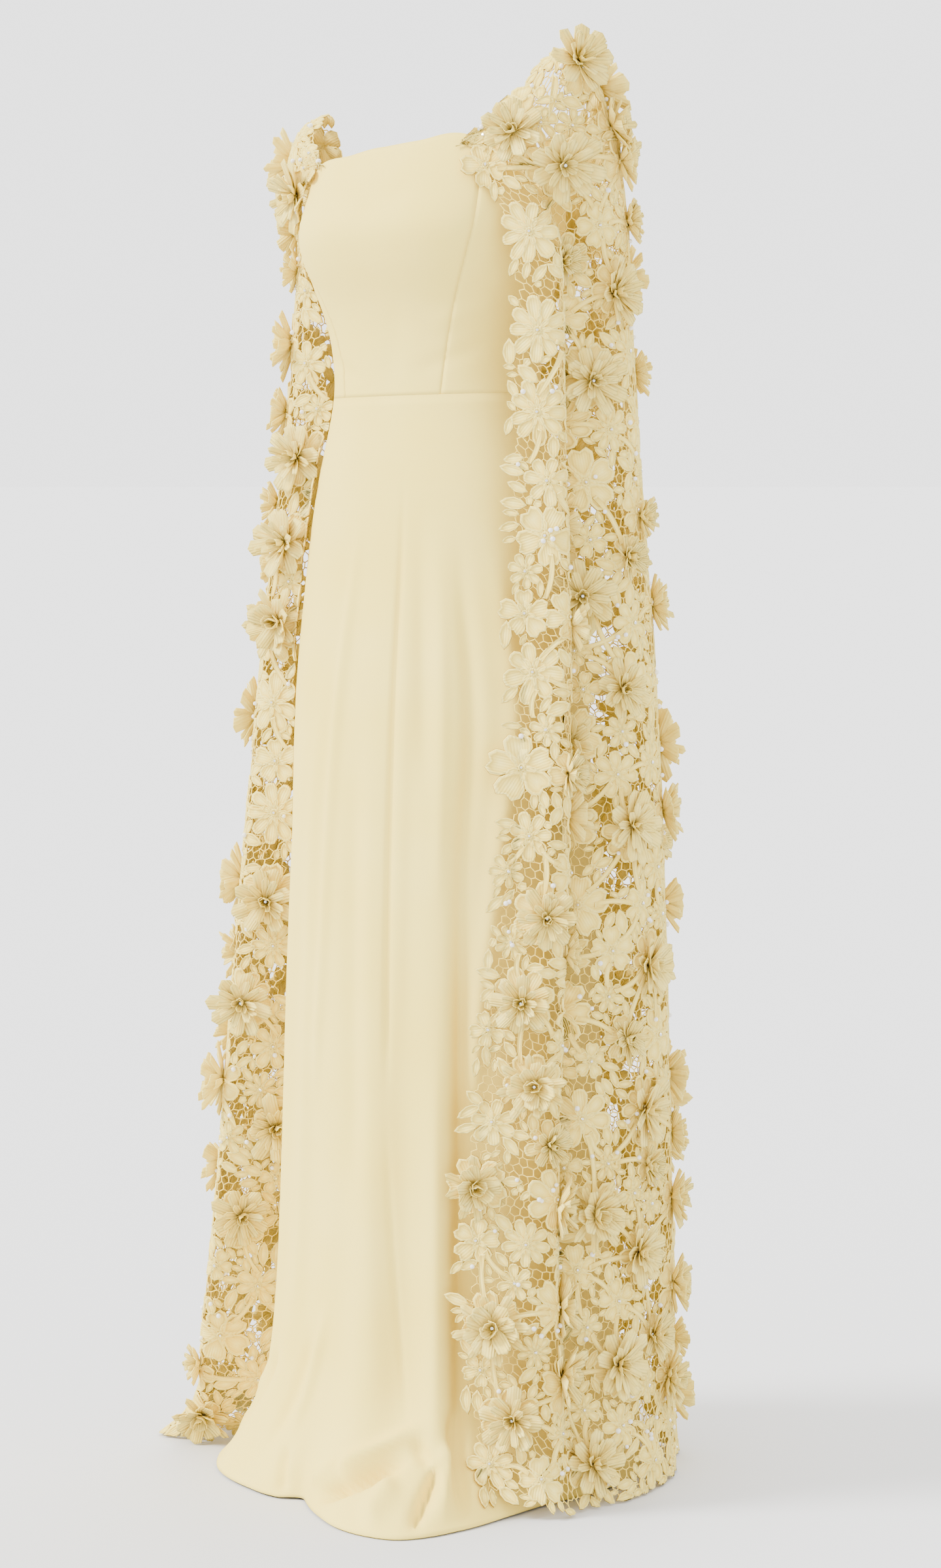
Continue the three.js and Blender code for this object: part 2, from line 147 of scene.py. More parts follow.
def ease(x, low, high):
    """Rises softly from 0 at low to 1 at high."""
    t = np.clip((x - low) / (high - low), 0, 1)
    return t * t * (3 - 2 * t)


BODY = columns(
    "height half_width front back square",
    (0, 214, 202, 216, 2.1),
    (85, 196, 178, 192, 2.1),
    (160, 186, 164, 178, 2.15),
    (271, 180, 155, 165, 2.2),
    (600, 174, 146, 152, 2.2),
    (850, 168, 132, 142, 2.2),
    (1010, 156, 113, 128, 2.2),
    (1100, 142, 104, 108, 2.2),
    (1190, 122, 94, 84, 2.2),
    (1245, 123, 98, 87, 2.2),
    (1285, 130, 108, 93, 2.3),
    (1335, 140, 131, 99, 2.55),
    (1370, 144, 137, 99, 2.6),
    (1410, 147, 120, 95, 2.4),
    (1460, 150, 93, 86, 2.2),
)
# How the wearer leans: the left side's rise for each millimetre outwards, at each height.
LEAN = columns("height rise", (0, 0), (950, 0), (1190, 0.03), (1440, 0.065), (1530, 0.18))
TOP_EDGE = columns(
    "angle height",
    (0, 1456),
    (25, 1458),
    (53, 1459),
    (74, 1420),
    (95, 1398),
    (125, 1432),
    (180, 1444),
)
PRINCESS_SEAM = columns("height angle", (1190, 39), (1320, 48), (1450, 59))
SIDE_SEAM_ANGLE = 92.0
RIGHT_CORNER_DROP = 11.0
WAIST_HEIGHT = 1190.0
CREPE_WALL = 1.6
CREASE_REACH = 150.0

half_width_at = smooth(BODY, "height", "half_width")
front_at = smooth(BODY, "height", "front")
back_at = smooth(BODY, "height", "back")
square_at = smooth(BODY, "height", "square")
top_edge_at = smooth(TOP_EDGE, "angle", "height")
princess_at = smooth(PRINCESS_SEAM, "height", "angle")
rise_at = smooth(LEAN, "height", "rise")


def bell(distance, width):
    """Falls softly from 1 on a line to nothing a little way beside it."""
    return np.exp(-((distance / width) ** 2))


def unit(vectors):
    """The same directions, each one long."""
    return vectors / np.linalg.norm(vectors, axis=-1, keepdims=True)


def wrapped(angle):
    """The same angle, from -180 to 180: 0 is the front, 90 the wearer's left."""
    return (angle + 180) % 360 - 180


def neckline(angle):
    """The top edge's height: straight across, with the right corner standing a little lower."""
    right = ease(-wrapped(angle), 0, 48) * (1 - ease(-wrapped(angle), 62, 92))
    return top_edge_at(np.abs(wrapped(angle))) - RIGHT_CORNER_DROP * right


def posed(angle, reach, height):
    """Points at those angles, reaches and heights, leaned as the wearer stands."""
    turn = np.radians(angle)
    x = reach * np.sin(turn)
    return np.stack([x, -reach * np.cos(turn), height + x * rise_at(height)], axis=-1)


def section_reach(angle, height):
    """How far the smooth body of the gown stands from its axis: an oval, squarer at the bust."""
    turn = np.radians(angle)
    depth = np.where(np.cos(turn) > 0, front_at(height), back_at(height))
    power = square_at(height)
    across = np.abs(np.sin(turn)) / half_width_at(height)
    along = np.abs(np.cos(turn)) / depth
    return (across**power + along**power) ** (-1 / power)


def crease(x, y, across, along, width, depth):
    """The push of one soft crease from the origin to (across, along), tapering at both ends."""
    long = math.hypot(across, along)
    share = (x * across + y * along) / long**2
    off = (x * along - y * across) / long
    taper = ease(share, -0.05, 0.3) * (1 - ease(share, 0.7, 1.05))
    return depth * taper * bell(off, width)


def creased(angle, height, reach, creases):
    """How far creases push the cloth out, each given by its two ends."""
    push = np.zeros(np.broadcast(angle, height).shape)
    for a0, h0, a1, h1, width, depth in creases:
        x = np.radians(wrapped(angle - a0)) * reach
        across = math.radians(a1 - a0) * CREASE_REACH
        push += crease(x, height - h0, across, h1 - h0, width, depth)
    return push


def long_creased(angle, height, reach, creases):
    """The same for long creases that pass through a row of places, each a height and an angle."""
    push = np.zeros(np.broadcast(angle, height).shape)
    for path, width, depth in creases:
        row = {"height": np.array(path[::2], dtype=float), "angle": np.array(path[1::2], dtype=float)}
        low, high = row["height"][0], row["height"][-1]
        off = np.radians(wrapped(angle - smooth(row, "height", "angle")(height))) * reach
        taper = ease(height, low - 20, low + 90) * (1 - ease(height, high - 160, high + 20))
        push += depth * taper * bell(off, width)
    return push


def normals_of(grid):
    """Unit normals of a grid of points whose columns run anticlockwise and whose rows run down."""
    return unit(np.cross(np.gradient(grid, axis=1), np.gradient(grid, axis=0)))


def in_frame(points):
    """Points in millimetres above the floor, moved into the frame: metres, origin at the shoulders."""
    moved = points.reshape(-1, 3) / 1000
    moved[:, 2] -= SHOULDER_HEIGHT / 1000
    return moved.astype(np.float32)


def fill_mesh(name, points, faces, uv, material):
    """A smooth mesh from points in millimetres above the floor, with one uv pair for each point."""
    mesh = bpy.data.meshes.new(name)
    places = in_frame(points.astype(np.float32))
    sizes = [f.shape[1] for f in faces for _ in range(len(f))]
    corners = np.concatenate([f.ravel() for f in faces]).astype(np.int32)
    mesh.vertices.add(len(places))
    mesh.vertices.foreach_set("co", places.ravel())
    mesh.loops.add(len(corners))
    mesh.loops.foreach_set("vertex_index", corners)
    mesh.polygons.add(len(sizes))
    starts = np.concatenate([[0], np.cumsum(sizes)[:-1]]).astype(np.int32)
    mesh.polygons.foreach_set("loop_start", starts)
    mesh.polygons.foreach_set("use_smooth", np.ones(len(sizes), dtype=bool))
    mesh.materials.append(material)
    layer = mesh.uv_layers.new(name="cloth")
    layer.data.foreach_set("uv", np.asarray(uv, dtype=np.float32)[corners].ravel())
    mesh.update(calc_edges=True)
    return mesh


def grid_faces(n, m, start=0, flip=False):
    """The quads between n columns and m rows of points, facing outwards unless flipped."""
    k = (np.arange(n - 1)[:, None] * m + np.arange(m - 1)[None, :]).ravel() + start
    quads = np.stack([k, k + 1, k + m + 1, k + m], axis=1)
    return quads[:, ::-1] if flip else quads


def wall_mesh(name, outer, inner, material):
    """A closed wall of cloth between two grids of points, columns anticlockwise and rows down."""
    n, m = outer.shape[:2]
    count = n * m
    rim = [i * m for i in range(n)]
    rim += [(n - 1) * m + j for j in range(1, m)]
    rim += [i * m + m - 1 for i in range(n - 2, -1, -1)]
    rim += [j for j in range(m - 2, 0, -1)]
    a = np.array(rim)
    b = np.roll(a, -1)
    edge = np.stack([a, b, b + count, a + count], axis=1)
    faces = np.concatenate([grid_faces(n, m), grid_faces(n, m, count, True), edge])
    run = np.linalg.norm(np.diff(outer, axis=0), axis=-1).mean(axis=1)
    fall = np.linalg.norm(np.diff(outer, axis=1), axis=-1).mean(axis=0)
    across = np.concatenate([[0], np.cumsum(run)]) / 1000
    down = np.concatenate([[0], np.cumsum(fall)]) / 1000
    uv = np.stack(np.meshgrid(across, -down, indexing="ij"), axis=-1).reshape(-1, 2)
    points = np.concatenate([outer.reshape(-1, 3), inner.reshape(-1, 3)])
    return fill_mesh(name, points, [faces], np.concatenate([uv, uv]), material)


def add_node(tree, kind, **settings):
    """A node with its inputs, or else its own settings, given by name."""
    node = tree.nodes.new(kind)
    for key, value in settings.items():
        if key in node.inputs.keys():
            node.inputs[key].default_value = value
        else:
            setattr(node, key, value)
    return node


def join_nodes(tree, *rows):
    """Links nodes, one row for each link: from a node, its output, to a node, its input."""
    for source, output, target, socket in rows:
        tree.links.new(source.outputs[output], target.inputs[socket])


def blank_material(name, roughness, sheen, sheen_tint):
    """A matt cloth finish with nothing wired to it yet."""
    material = bpy.data.materials.new(name)
    material.use_nodes = True
    shader = material.node_tree.nodes["Principled BSDF"]
    shader.inputs["Roughness"].default_value = roughness
    shader.inputs["Sheen Weight"].default_value = sheen
    shader.inputs["Sheen Roughness"].default_value = 0.45
    shader.inputs["Sheen Tint"].default_value = (*sheen_tint, 1)
    shader.inputs["Specular IOR Level"].default_value = 0.22
    return material, material.node_tree, shader


def clouded(tree, shader, scale, detail, stops):
    """Soft clouding of the base colour between tones, each a place on the ramp and a colour."""
    place = add_node(tree, "ShaderNodeTexCoord")
    cloud = add_node(tree, "ShaderNodeTexNoise", Scale=scale, Detail=detail)
    tone = add_node(tree, "ShaderNodeValToRGB")
    ramp = tone.color_ramp.elements
    for end, (at, colour) in zip(ramp, (stops[0], stops[-1])):
        end.position = at
        end.color = (*colour, 1)
    for at, colour in stops[1:-1]:
        ramp.new(at).color = (*colour, 1)
    join_nodes(
        tree,
        (place, "Object", cloud, "Vector"),
        (cloud, "Fac", tone, "Fac"),
        (tone, "Color", shader, "Base Color"),
    )
    return place, cloud, tone


def roughened(tree, shader, place, lines, grain, grain_share, strength, distance):
    """Relief from lines that follow the cloth and a finer grain, mixed and read as bump."""
    both = add_node(tree, "ShaderNodeMix", data_type="FLOAT", Factor=grain_share)
    bump = add_node(tree, "ShaderNodeBump", Strength=strength, Distance=distance)
    join_nodes(
        tree,
        (place, "UV", lines, "Vector"),
        (place, "Object", grain, "Vector"),
        (lines, "Fac", both, "A"),
        (grain, "Fac", both, "B"),
        (both, "Result", bump, "Height"),
        (bump, "Normal", shader, "Normal"),
    )


def crepe_material(name, pale, deep):
    """Crepe: a fine pebbled grain of tight-twisted yarn, a faint cross rib and soft clouding."""
    material, tree, shader = blank_material(name, 0.82, 0.06, (1.0, 0.85, 0.5))
    place = clouded(tree, shader, 7.0, 3.0, ((0.3, deep), (0.7, pale)))[0]
    grain = add_node(tree, "ShaderNodeTexNoise", Scale=1100.0, Detail=2.0, Roughness=0.6)
    rib = add_node(tree, "ShaderNodeTexWave", Scale=190.0, Distortion=6.0)
    rib.bands_direction = "Y"
    rib.inputs["Detail Scale"].default_value = 3.0
    roughened(tree, shader, place, rib, grain, 0.78, 0.28, 0.0005)
    return material


crepe = crepe_material("butter_crepe", (0.95, 0.755, 0.182), (0.93, 0.715, 0.14))

BODICE_CREASES = (
    # from angle and height, to angle and height, width and depth in mm
    (18, 1212, 58, 1246, 9, -1.8),
    (30, 1262, 66, 1290, 10, 1.6),
    (-20, 1208, -52, 1240, 9, -1.6),
    (-34, 1300, -64, 1330, 12, -1.4),
    (4, 1200, 10, 1290, 14, -1.2),
    (46, 1338, 74, 1364, 11, -1.8),
    (60, 1306, 84, 1330, 10, 1.4),
    (120, 1208, 150, 1236, 10, -1.8),
    (-124, 1210, -152, 1242, 10, -1.8),
    (100, 1300, 124, 1322, 12, 1.4),
    (-102, 1280, -126, 1300, 12, 1.4),
    (172, 1230, 176, 1330, 11, -1.4),
    (-8, 1392, 22, 1402, 13, -1.2),
)
SIDE_DIP, WAIST_DIP, NECK_DIP = 0.75, 0.12, 1.1
SEAM_DIP_WIDTH = 2.6
SEAM_GAP = 0.03
BODICE_GRID = 4.5
BODICE_LENGTH = 262.0
BUST_HEIGHT, BUST_REACH = 1300.0, 135.0
PUCKER, PUCKER_WIDTH = 0.35, 7.0


def bodice_panel(name, start, end, node):
    """One panel between two seams. Each edge rolls under a little where it is sewn."""
    run = math.radians(end(BUST_HEIGHT) - start(BUST_HEIGHT)) * BUST_REACH
    n = max(int(run / BODICE_GRID), 8)
    m = int(BODICE_LENGTH / BODICE_GRID)
    u, v = np.meshgrid(np.linspace(0, 1, n), np.linspace(0, 1, m), indexing="ij")
    half_gap = np.degrees(SEAM_GAP / 125)
    # a seam's angle and the top edge's height hang on each other, so they are found by turns
    height = np.full(u.shape, 1400.0)
    for _ in range(6):
        angle = (start(height) + half_gap) * (1 - u) + (end(height) - half_gap) * u
        height = neckline(angle) * (1 - v) + (WAIST_HEIGHT + SEAM_GAP) * v
    reach = section_reach(angle, height)
    reach = reach + creased(angle, height, reach, BODICE_CREASES)
    side = np.minimum(u, 1 - u) * run
    waist = height - WAIST_HEIGHT
    turned = neckline(angle) - height
    for distance, dip in ((side, SIDE_DIP), (waist, WAIST_DIP), (turned, NECK_DIP)):
        reach = reach - dip * bell(distance, SEAM_DIP_WIDTH)
    pucker = PUCKER * np.sin(height * 0.62 + angle) * bell(side, PUCKER_WIDTH)
    outer = posed(angle, reach + pucker, height)
    inner = outer - normals_of(outer) * CREPE_WALL
    piece = put(name, wall_mesh(name, outer, inner, crepe))
    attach(piece, "root")
    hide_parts(node)


def upright(angle):
    """A seam that runs straight down at one angle."""
    return lambda height: angle + 0 * height


def right_princess(height):
    """The right princess seam: the left one's mirror image."""
    return -princess_at(height)


BODICE = (
    # piece, its first seam, its second seam going anticlockwise, node
    ("bodice_centre_front", right_princess, princess_at, "bodice_front"),
    ("bodice_side_left", princess_at, upright(SIDE_SEAM_ANGLE), "bodice_side_front_left"),
    ("bodice_side_right", upright(-SIDE_SEAM_ANGLE), right_princess, "bodice_side_front_right"),
    ("bodice_rear_left", upright(SIDE_SEAM_ANGLE), upright(180), "bodice_back_left"),
    ("bodice_rear_right", upright(180), upright(360 - SIDE_SEAM_ANGLE), "bodice_back_right"),
)
for name, start, end, node in BODICE:
    bodice_panel(name, start, end, node)

# The skirt: three long panels of the same crepe, hung from the waist seam. Soft folds fall from the
# hip, deepen towards the floor, and the spare length breaks and spreads over it in two lobes.
SKIRT_FOLDS = (
    # angle, drift by the hem, width (degrees) and depth at the hem (mm)
    (4, 6, 9, 13),
    (22, 4, 8, -9),
    (36, 3, 8, 9),
    (53, -3, 9, -20),
    (-22, -4, 10, -7),
    (-40, -8, 9, 9),
    (-70, -4, 12, -8),
    (100, 5, 12, -10),
    (132, 3, 11, 12),
    (160, 2, 10, -12),
    (-112, -5, 12, 10),
    (-142, -4, 11, -12),
    (-168, -2, 10, 12),
)
# Long creases on top of those, each through its own angle at each height (height, angle, ...), with
# its width and depth; and short slanting ones where the spare length breaks on the floor.
LONG_CREASES = (
    ((445, 16.2, 700, 16.0, 1100, 17.5), 3.6, -4.6),
    ((500, 20.5, 760, 21.5, 1000, 23.0), 9, 2.2),
    ((80, 27, 250, 20, 440, 15.5), 3.4, -2.2),
    ((60, 18, 250, 12, 430, 9), 14, 1.6),
    ((430, -24, 570, -20, 760, -17.5, 1060, -13), 8, 5.4),
    ((330, 2, 560, -1, 820, -4), 15, -6.2),
    ((760, 32, 900, 31, 1080, 28), 11, -5.6),
    ((640, 37, 850, 39, 1050, 38), 8, 3.0),
    ((30, 44, 300, 46, 500, 46, 684, 47, 850, 51, 1050, 47), 9, -6.5),
    ((20, 44, 300, 46, 640, 46.5), 8, -8.0),
    ((30, 36, 250, 36, 520, 36.5), 9, 4.0),
    ((420, 50, 536, 53, 720, 61, 850, 67, 1030, 62), 11, 7.5),
    ((60, -46, 300, -42, 700, -38), 16, -6.5),
    ((180, -33, 500, -31, 900, -28), 11, 3.6),
    ((40, -62, 400, -60, 900, -54), 15, -5.5),
    ((60, 84, 500, 86, 900, 84), 14, -5.0),
    ((60, 120, 500, 117, 1000, 114), 13, -6.5),
    ((120, 147, 500, 147, 930, 145), 12, 5.0),
    ((80, 170, 500, 171, 1040, 172), 12, -6.5),
    ((90, -99, 500, -97, 960, -95), 14, -5.5),
    ((90, -129, 500, -128, 1000, -127), 12, -6.0),
    ((140, -154, 500, -155, 940, -156), 12, 5.0),
)
SKIRT_CREASES = (
    # from angle and height, to angle and height, width and depth in mm
    (3, 13, 42, 58, 6.5, -22),
    (6, 40, 42, 89, 9, 13),
    (30, 76, 39, 56, 7, -9),
    (39, 62, 25, 4, 6, -17),
    (27, 44, 17, 6, 12, 12),
    (40, 80, 37, 8, 7, 11),
    (-13, 2, -23, 50, 7, -9),
    (42, 110, 46, 4, 7, -14),
    (8, 60, 14, 20, 8, -6),
    (-12, 200, -21, 54, 8, 7),
    (-22, 170, -32, 40, 9, -6),
    (-44, 140, -62, 22, 11, -12),
    (-54, 120, -76, 24, 12, 8),
    (-2, 24, 12, 48, 8, 7),
    (110, 30, 92, 150, 15, -9),
    (134, 26, 150, 140, 15, 9),
    (176, 30, 160, 160, 15, -10),
    (-110, 26, -88, 130, 14, 9),
    (-150, 30, -132, 150, 15, -9),
)
FOLD_START_HEIGHT = 1080.0
HEM_REACH = columns(
    "angle reach",
    (-180, 252),
    (-135, 258),
    (-100, 268),
    (-76, 264),
    (-62, 254),
    (-50, 246),
    (-30, 230),
    (-15, 222),
    (-9, 206),
    (-4, 216),
    (7, 254),
    (16, 291),
    (24, 315),
    (30, 322),
    (36, 308),
    (43, 281),
    (56, 236),
    (72, 207),
    (90, 206),
    (120, 218),
    (150, 236),
    (180, 252),
)
BREAK_HEIGHT = 170.0
BREAK_SHARPNESS = 3.2
HEM_HEIGHT = 0.2
FLOOR_GAP = 0.1
SKIRT_SEAM_DIP = 0.15
# angles between which the columns lie closer, and how far apart they lie there and elsewhere
COLUMN_STEP = 0.25
FINE_FROM, FINE_TO = -50, 70
FINE_PACE, PLAIN_PACE = 3.3, 7.5
hem_reach_at = smooth(HEM_REACH, "angle", "reach")


def skirt_reach(angle, height):
    """How far the skirt stands from its axis, with its folds and the spread of its hem."""
    fallen = np.clip(1 - height / FOLD_START_HEIGHT, 0, 1)
    reach = section_reach(angle, height)
    for middle, drift, width, depth in SKIRT_FOLDS:
        off = wrapped(angle - middle - drift * fallen)
        reach = reach + depth * fallen**1.3 * bell(off, width)
    broken = np.clip(1 - height / BREAK_HEIGHT, 0, 1) ** BREAK_SHARPNESS
    return reach + (hem_reach_at(wrapped(angle)) - reach) * broken


def skirt_lift(angle, height, reach):
    """How far all the creases push the skirt out, and not at all where it meets the floor."""
    lift = creased(angle, height, reach, SKIRT_CREASES)
    lift = lift + long_creased(angle, height, reach, LONG_CREASES)
    return lift * ease(height, 2, 26)


def skirt_panel(name, start, end, node):
    """One panel between two straight seams, its columns closest where the creases are finest."""
    top = WAIST_HEIGHT - SEAM_GAP
    spread = np.arange(start, end, COLUMN_STEP)
    pace = np.where((spread > FINE_FROM) & (spread < FINE_TO), FINE_PACE, PLAIN_PACE)
    share = np.concatenate([[0], np.cumsum(1 / pace)])
    n = int(math.radians(COLUMN_STEP) * 160 * share[-1])
    fall = np.concatenate([np.linspace(0, 0.86, 92), np.linspace(0.866, 1, 44)])
    across = np.interp(np.linspace(0, share[-1], n), share, np.linspace(0, 1, len(share)))
    u, v = np.meshgrid(across, fall, indexing="ij")
    height = top + (HEM_HEIGHT - top) * v
    half_gap = np.degrees(SEAM_GAP / half_width_at(height))
    angle = (start + half_gap) * (1 - u) + (end - half_gap) * u
    reach = skirt_reach(angle, height)
    broken = creased(angle, height, reach, SKIRT_CREASES)
    # where the cloth lies almost flat, ahead of the feet, its creases stand up off it
    flat = (1 - ease(height, 60, 150)) * (1 - ease(np.abs(wrapped(angle) - 5), 36, 42))
    reach = reach + skirt_lift(angle, height, reach) - broken * flat * ease(height, 2, 26)
    side = np.minimum(u, 1 - u) * math.radians(end - start) * reach
    for distance in (side, WAIST_HEIGHT - height):
        reach = reach - SKIRT_SEAM_DIP * bell(distance, SEAM_DIP_WIDTH)
    outer = posed(angle, reach, height)
    outer = outer + normals_of(outer) * (broken * flat * ease(height, 0.4, 9))[..., None]
    outer[..., 2] = np.maximum(outer[..., 2], FLOOR_GAP)
    inner = outer - normals_of(outer) * CREPE_WALL
    inner[..., 2] = np.maximum(inner[..., 2], FLOOR_Z * 1000 + SHOULDER_HEIGHT + 0.2)
    piece = put(name, wall_mesh(name, outer, inner, crepe))
    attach(piece, "root")
    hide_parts(node)


skirt_panel("skirt_front_panel", -SIDE_SEAM_ANGLE, SIDE_SEAM_ANGLE, "skirt_front")
skirt_panel("skirt_rear_left", SIDE_SEAM_ANGLE, 180.0, "skirt_back_left")
skirt_panel("skirt_rear_right", 180.0, 360.0 - SIDE_SEAM_ANGLE, "skirt_back_right")

# The cape's lie: heavy lace hung from the yoke seams and the back of the bodice in deep soft folds,
# open in front, its hem just trailing. The table gives each fold's angle and its reach from the
# standing axis at each level, from the left front edge round the back to the right front edge.
CAPE_FOLDS = columns(
    "fold angle at_shin at_hem bust waist thigh shin hem",
    (0, 65, 44, 50, 172, 170, 188, 190, 228),
    (1, 70, 54, 58, 190, 190, 200, 204, 244),
    (2, 76, 68, 67, 204, 212, 224, 226, 266),
    (3, 83, 77, 78, 186, 190, 204, 212, 250),
    (4, 96, 97, 97, 210, 218, 242, 238, 254),
    (5, 112, 119, 124, 212, 220, 247, 258, 262),
    (6, 131, 134, 136, 170, 192, 220, 248, 260),
    (7, 146, 147, 147, 146, 184, 234, 274, 285),
    (8, 163, 163, 162, 122, 148, 198, 248, 272),
    (9, 180, 180, 180, 126, 158, 216, 274, 298),
    (10, 197, 197, 198, 122, 148, 198, 248, 272),
    (11, 214, 214, 214, 146, 186, 238, 288, 310),
    (12, 229, 229, 229, 170, 194, 232, 270, 292),
    (13, 255, 252, 252, 198, 208, 258, 300, 350),
    (14, 277, 284, 276, 178, 190, 236, 268, 372),
    (15, 289, 297, 281, 160, 170, 213, 250, 338),
    (16, 294, 288, 275, 146, 124, 170, 184, 280),
)
YOKE_SEAM = columns(
    "angle reach height",
    (53, 120, 1446),
    (64, 158, 1433),
    (75, 186, 1434),
    (90, 207, 1445),
    (105, 209, 1448),
    (118, 178, 1441),
    (130, 122, 1434),
    (150, 90, 1432),
    (180, 80, 1434),
)
CAPE_HEM = columns("fold height", (0, 17), (1.2, 13), (2.4, 0.2), (16, 0.2))
# Smaller soft folds in the hanging lace: (fold, share of the way down) at both ends, width and depth.
CAPE_CREASES = (
    (3.0, 0.02, 3.05, 1.02, 10, -17.0),
    (2.45, 0.10, 2.5, 1.00, 10, 5.0),
    (0.6, 0.20, 0.5, 0.95, 11, -4.0),
    (1.5, 0.35, 1.7, 1.00, 10, 3.5),
    (3.6, 0.12, 3.7, 0.80, 12, -3.0),
    (4.5, 0.30, 4.4, 1.05, 15, -5.0),
    (5.4, 0.10, 5.5, 0.75, 14, 4.0),
    (6.6, 0.25, 6.5, 1.05, 15, 5.0),
    (7.5, 0.15, 7.6, 0.90, 13, -4.0),
    (8.4, 0.40, 8.5, 1.05, 14, 4.0),
    (9.5, 0.20, 9.4, 0.85, 13, -4.5),
    (10.5, 0.35, 10.6, 1.05, 15, 4.5),
    (11.5, 0.15, 11.4, 0.80, 13, -4.0),
    (12.5, 0.25, 12.6, 1.00, 15, 4.5),
    (13.4, 0.12, 13.6, 0.70, 14, -4.0),
    (14.2, 0.40, 14.1, 1.00, 14, -5.0),
    (15.1, 0.30, 15.2, 0.95, 11, 3.5),
    # crumpled where the hem reaches the floor
    (3.2, 0.93, 4.6, 0.985, 13, 7.0),
    (4.4, 0.96, 5.8, 0.90, 12, -6.0),
    (1.0, 0.95, 2.4, 0.97, 9, 4.0),
    (6.9, 0.97, 8.2, 0.92, 13, 6.0),
    (9.6, 0.93, 10.9, 0.98, 13, 6.0),
    (12.6, 0.97, 13.9, 0.90, 15, 8.0),
)
YOKE_RIBS = columns(
    "along nx ny nz cx cy cz",
    (0, 99, -75, 1458, 99, -75, 1452),
    (0.22, 136, -48, 1489, 157, -62, 1466),
    (0.5, 163, 8, 1528, 212, 8, 1534),
    (0.78, 156, 53, 1470, 188, 75, 1466),
    (1, 90, 72, 1441, 90, 72, 1438),
)
# how far the back of the right yoke has slipped, at its edge and along its middle
BACK_DROP = (46.0, 30.0)
LEFT_VALLEY, LEFT_SIDE_BACK, RIGHT_SIDE_BACK, LAST_FOLD = 3, 6, 12, 16
NECK_CORNER, LEFT_EDGE, RIGHT_EDGE = 53.0, 65.0, 294.0
TOE_HEIGHT, SHIN_HEIGHT, THIGH_HEIGHT, ARM_HEIGHT = 90.0, 280.0, 800.0, 1345.0
LACE_WALL = 2.0
LACE_CLEARANCE = 0.8
SEWN_GAP, LOOSE_GAP = 2.8, 5.0
CAPE_LENGTH = 1432.0
FOLD_WIDTH = 70.0
seam_reach_hung = smooth(YOKE_SEAM, "angle", "reach")
seam_height_at = smooth(YOKE_SEAM, "angle", "height")
cape_hem_at = smooth(CAPE_HEM, "fold", "height")
fold_at = {key: smooth(CAPE_FOLDS, "fold", key) for key in CAPE_FOLDS if key != "fold"}


def gown_reach(angle, height):
    """How far the gown under the cape stands from its axis."""
    angle, height = np.broadcast_arrays(angle, height)
    skirt = skirt_reach(angle, np.minimum(height, WAIST_HEIGHT))
    skirt = skirt + skirt_lift(angle, height, skirt)
    return np.where(height < WAIST_HEIGHT, skirt, section_reach(angle, height) + 1)


def seam_angle(fold):
    """The angle at which each fold of the cape leaves the seam it hangs from."""
    angle = fold_at["angle"](fold)
    # the seam runs from the neck's corner to the centre back, the folds from either front edge
    seam_run = 180 - NECK_CORNER
    left = NECK_CORNER + (angle - LEFT_EDGE) * seam_run / (180 - LEFT_EDGE)
    right = NECK_CORNER + (RIGHT_EDGE - angle) * seam_run / (RIGHT_EDGE - 180)
    return np.where(fold <= LAST_FOLD / 2, left, 360 - right)


def seam_reach(angle):
    """How far that seam stands from the axis: over the arms, or flat on the bodice."""
    on_bodice = section_reach(angle, seam_height_at(angle)) + LACE_WALL + LACE_CLEARANCE
    return np.maximum(seam_reach_hung(angle), on_bodice)


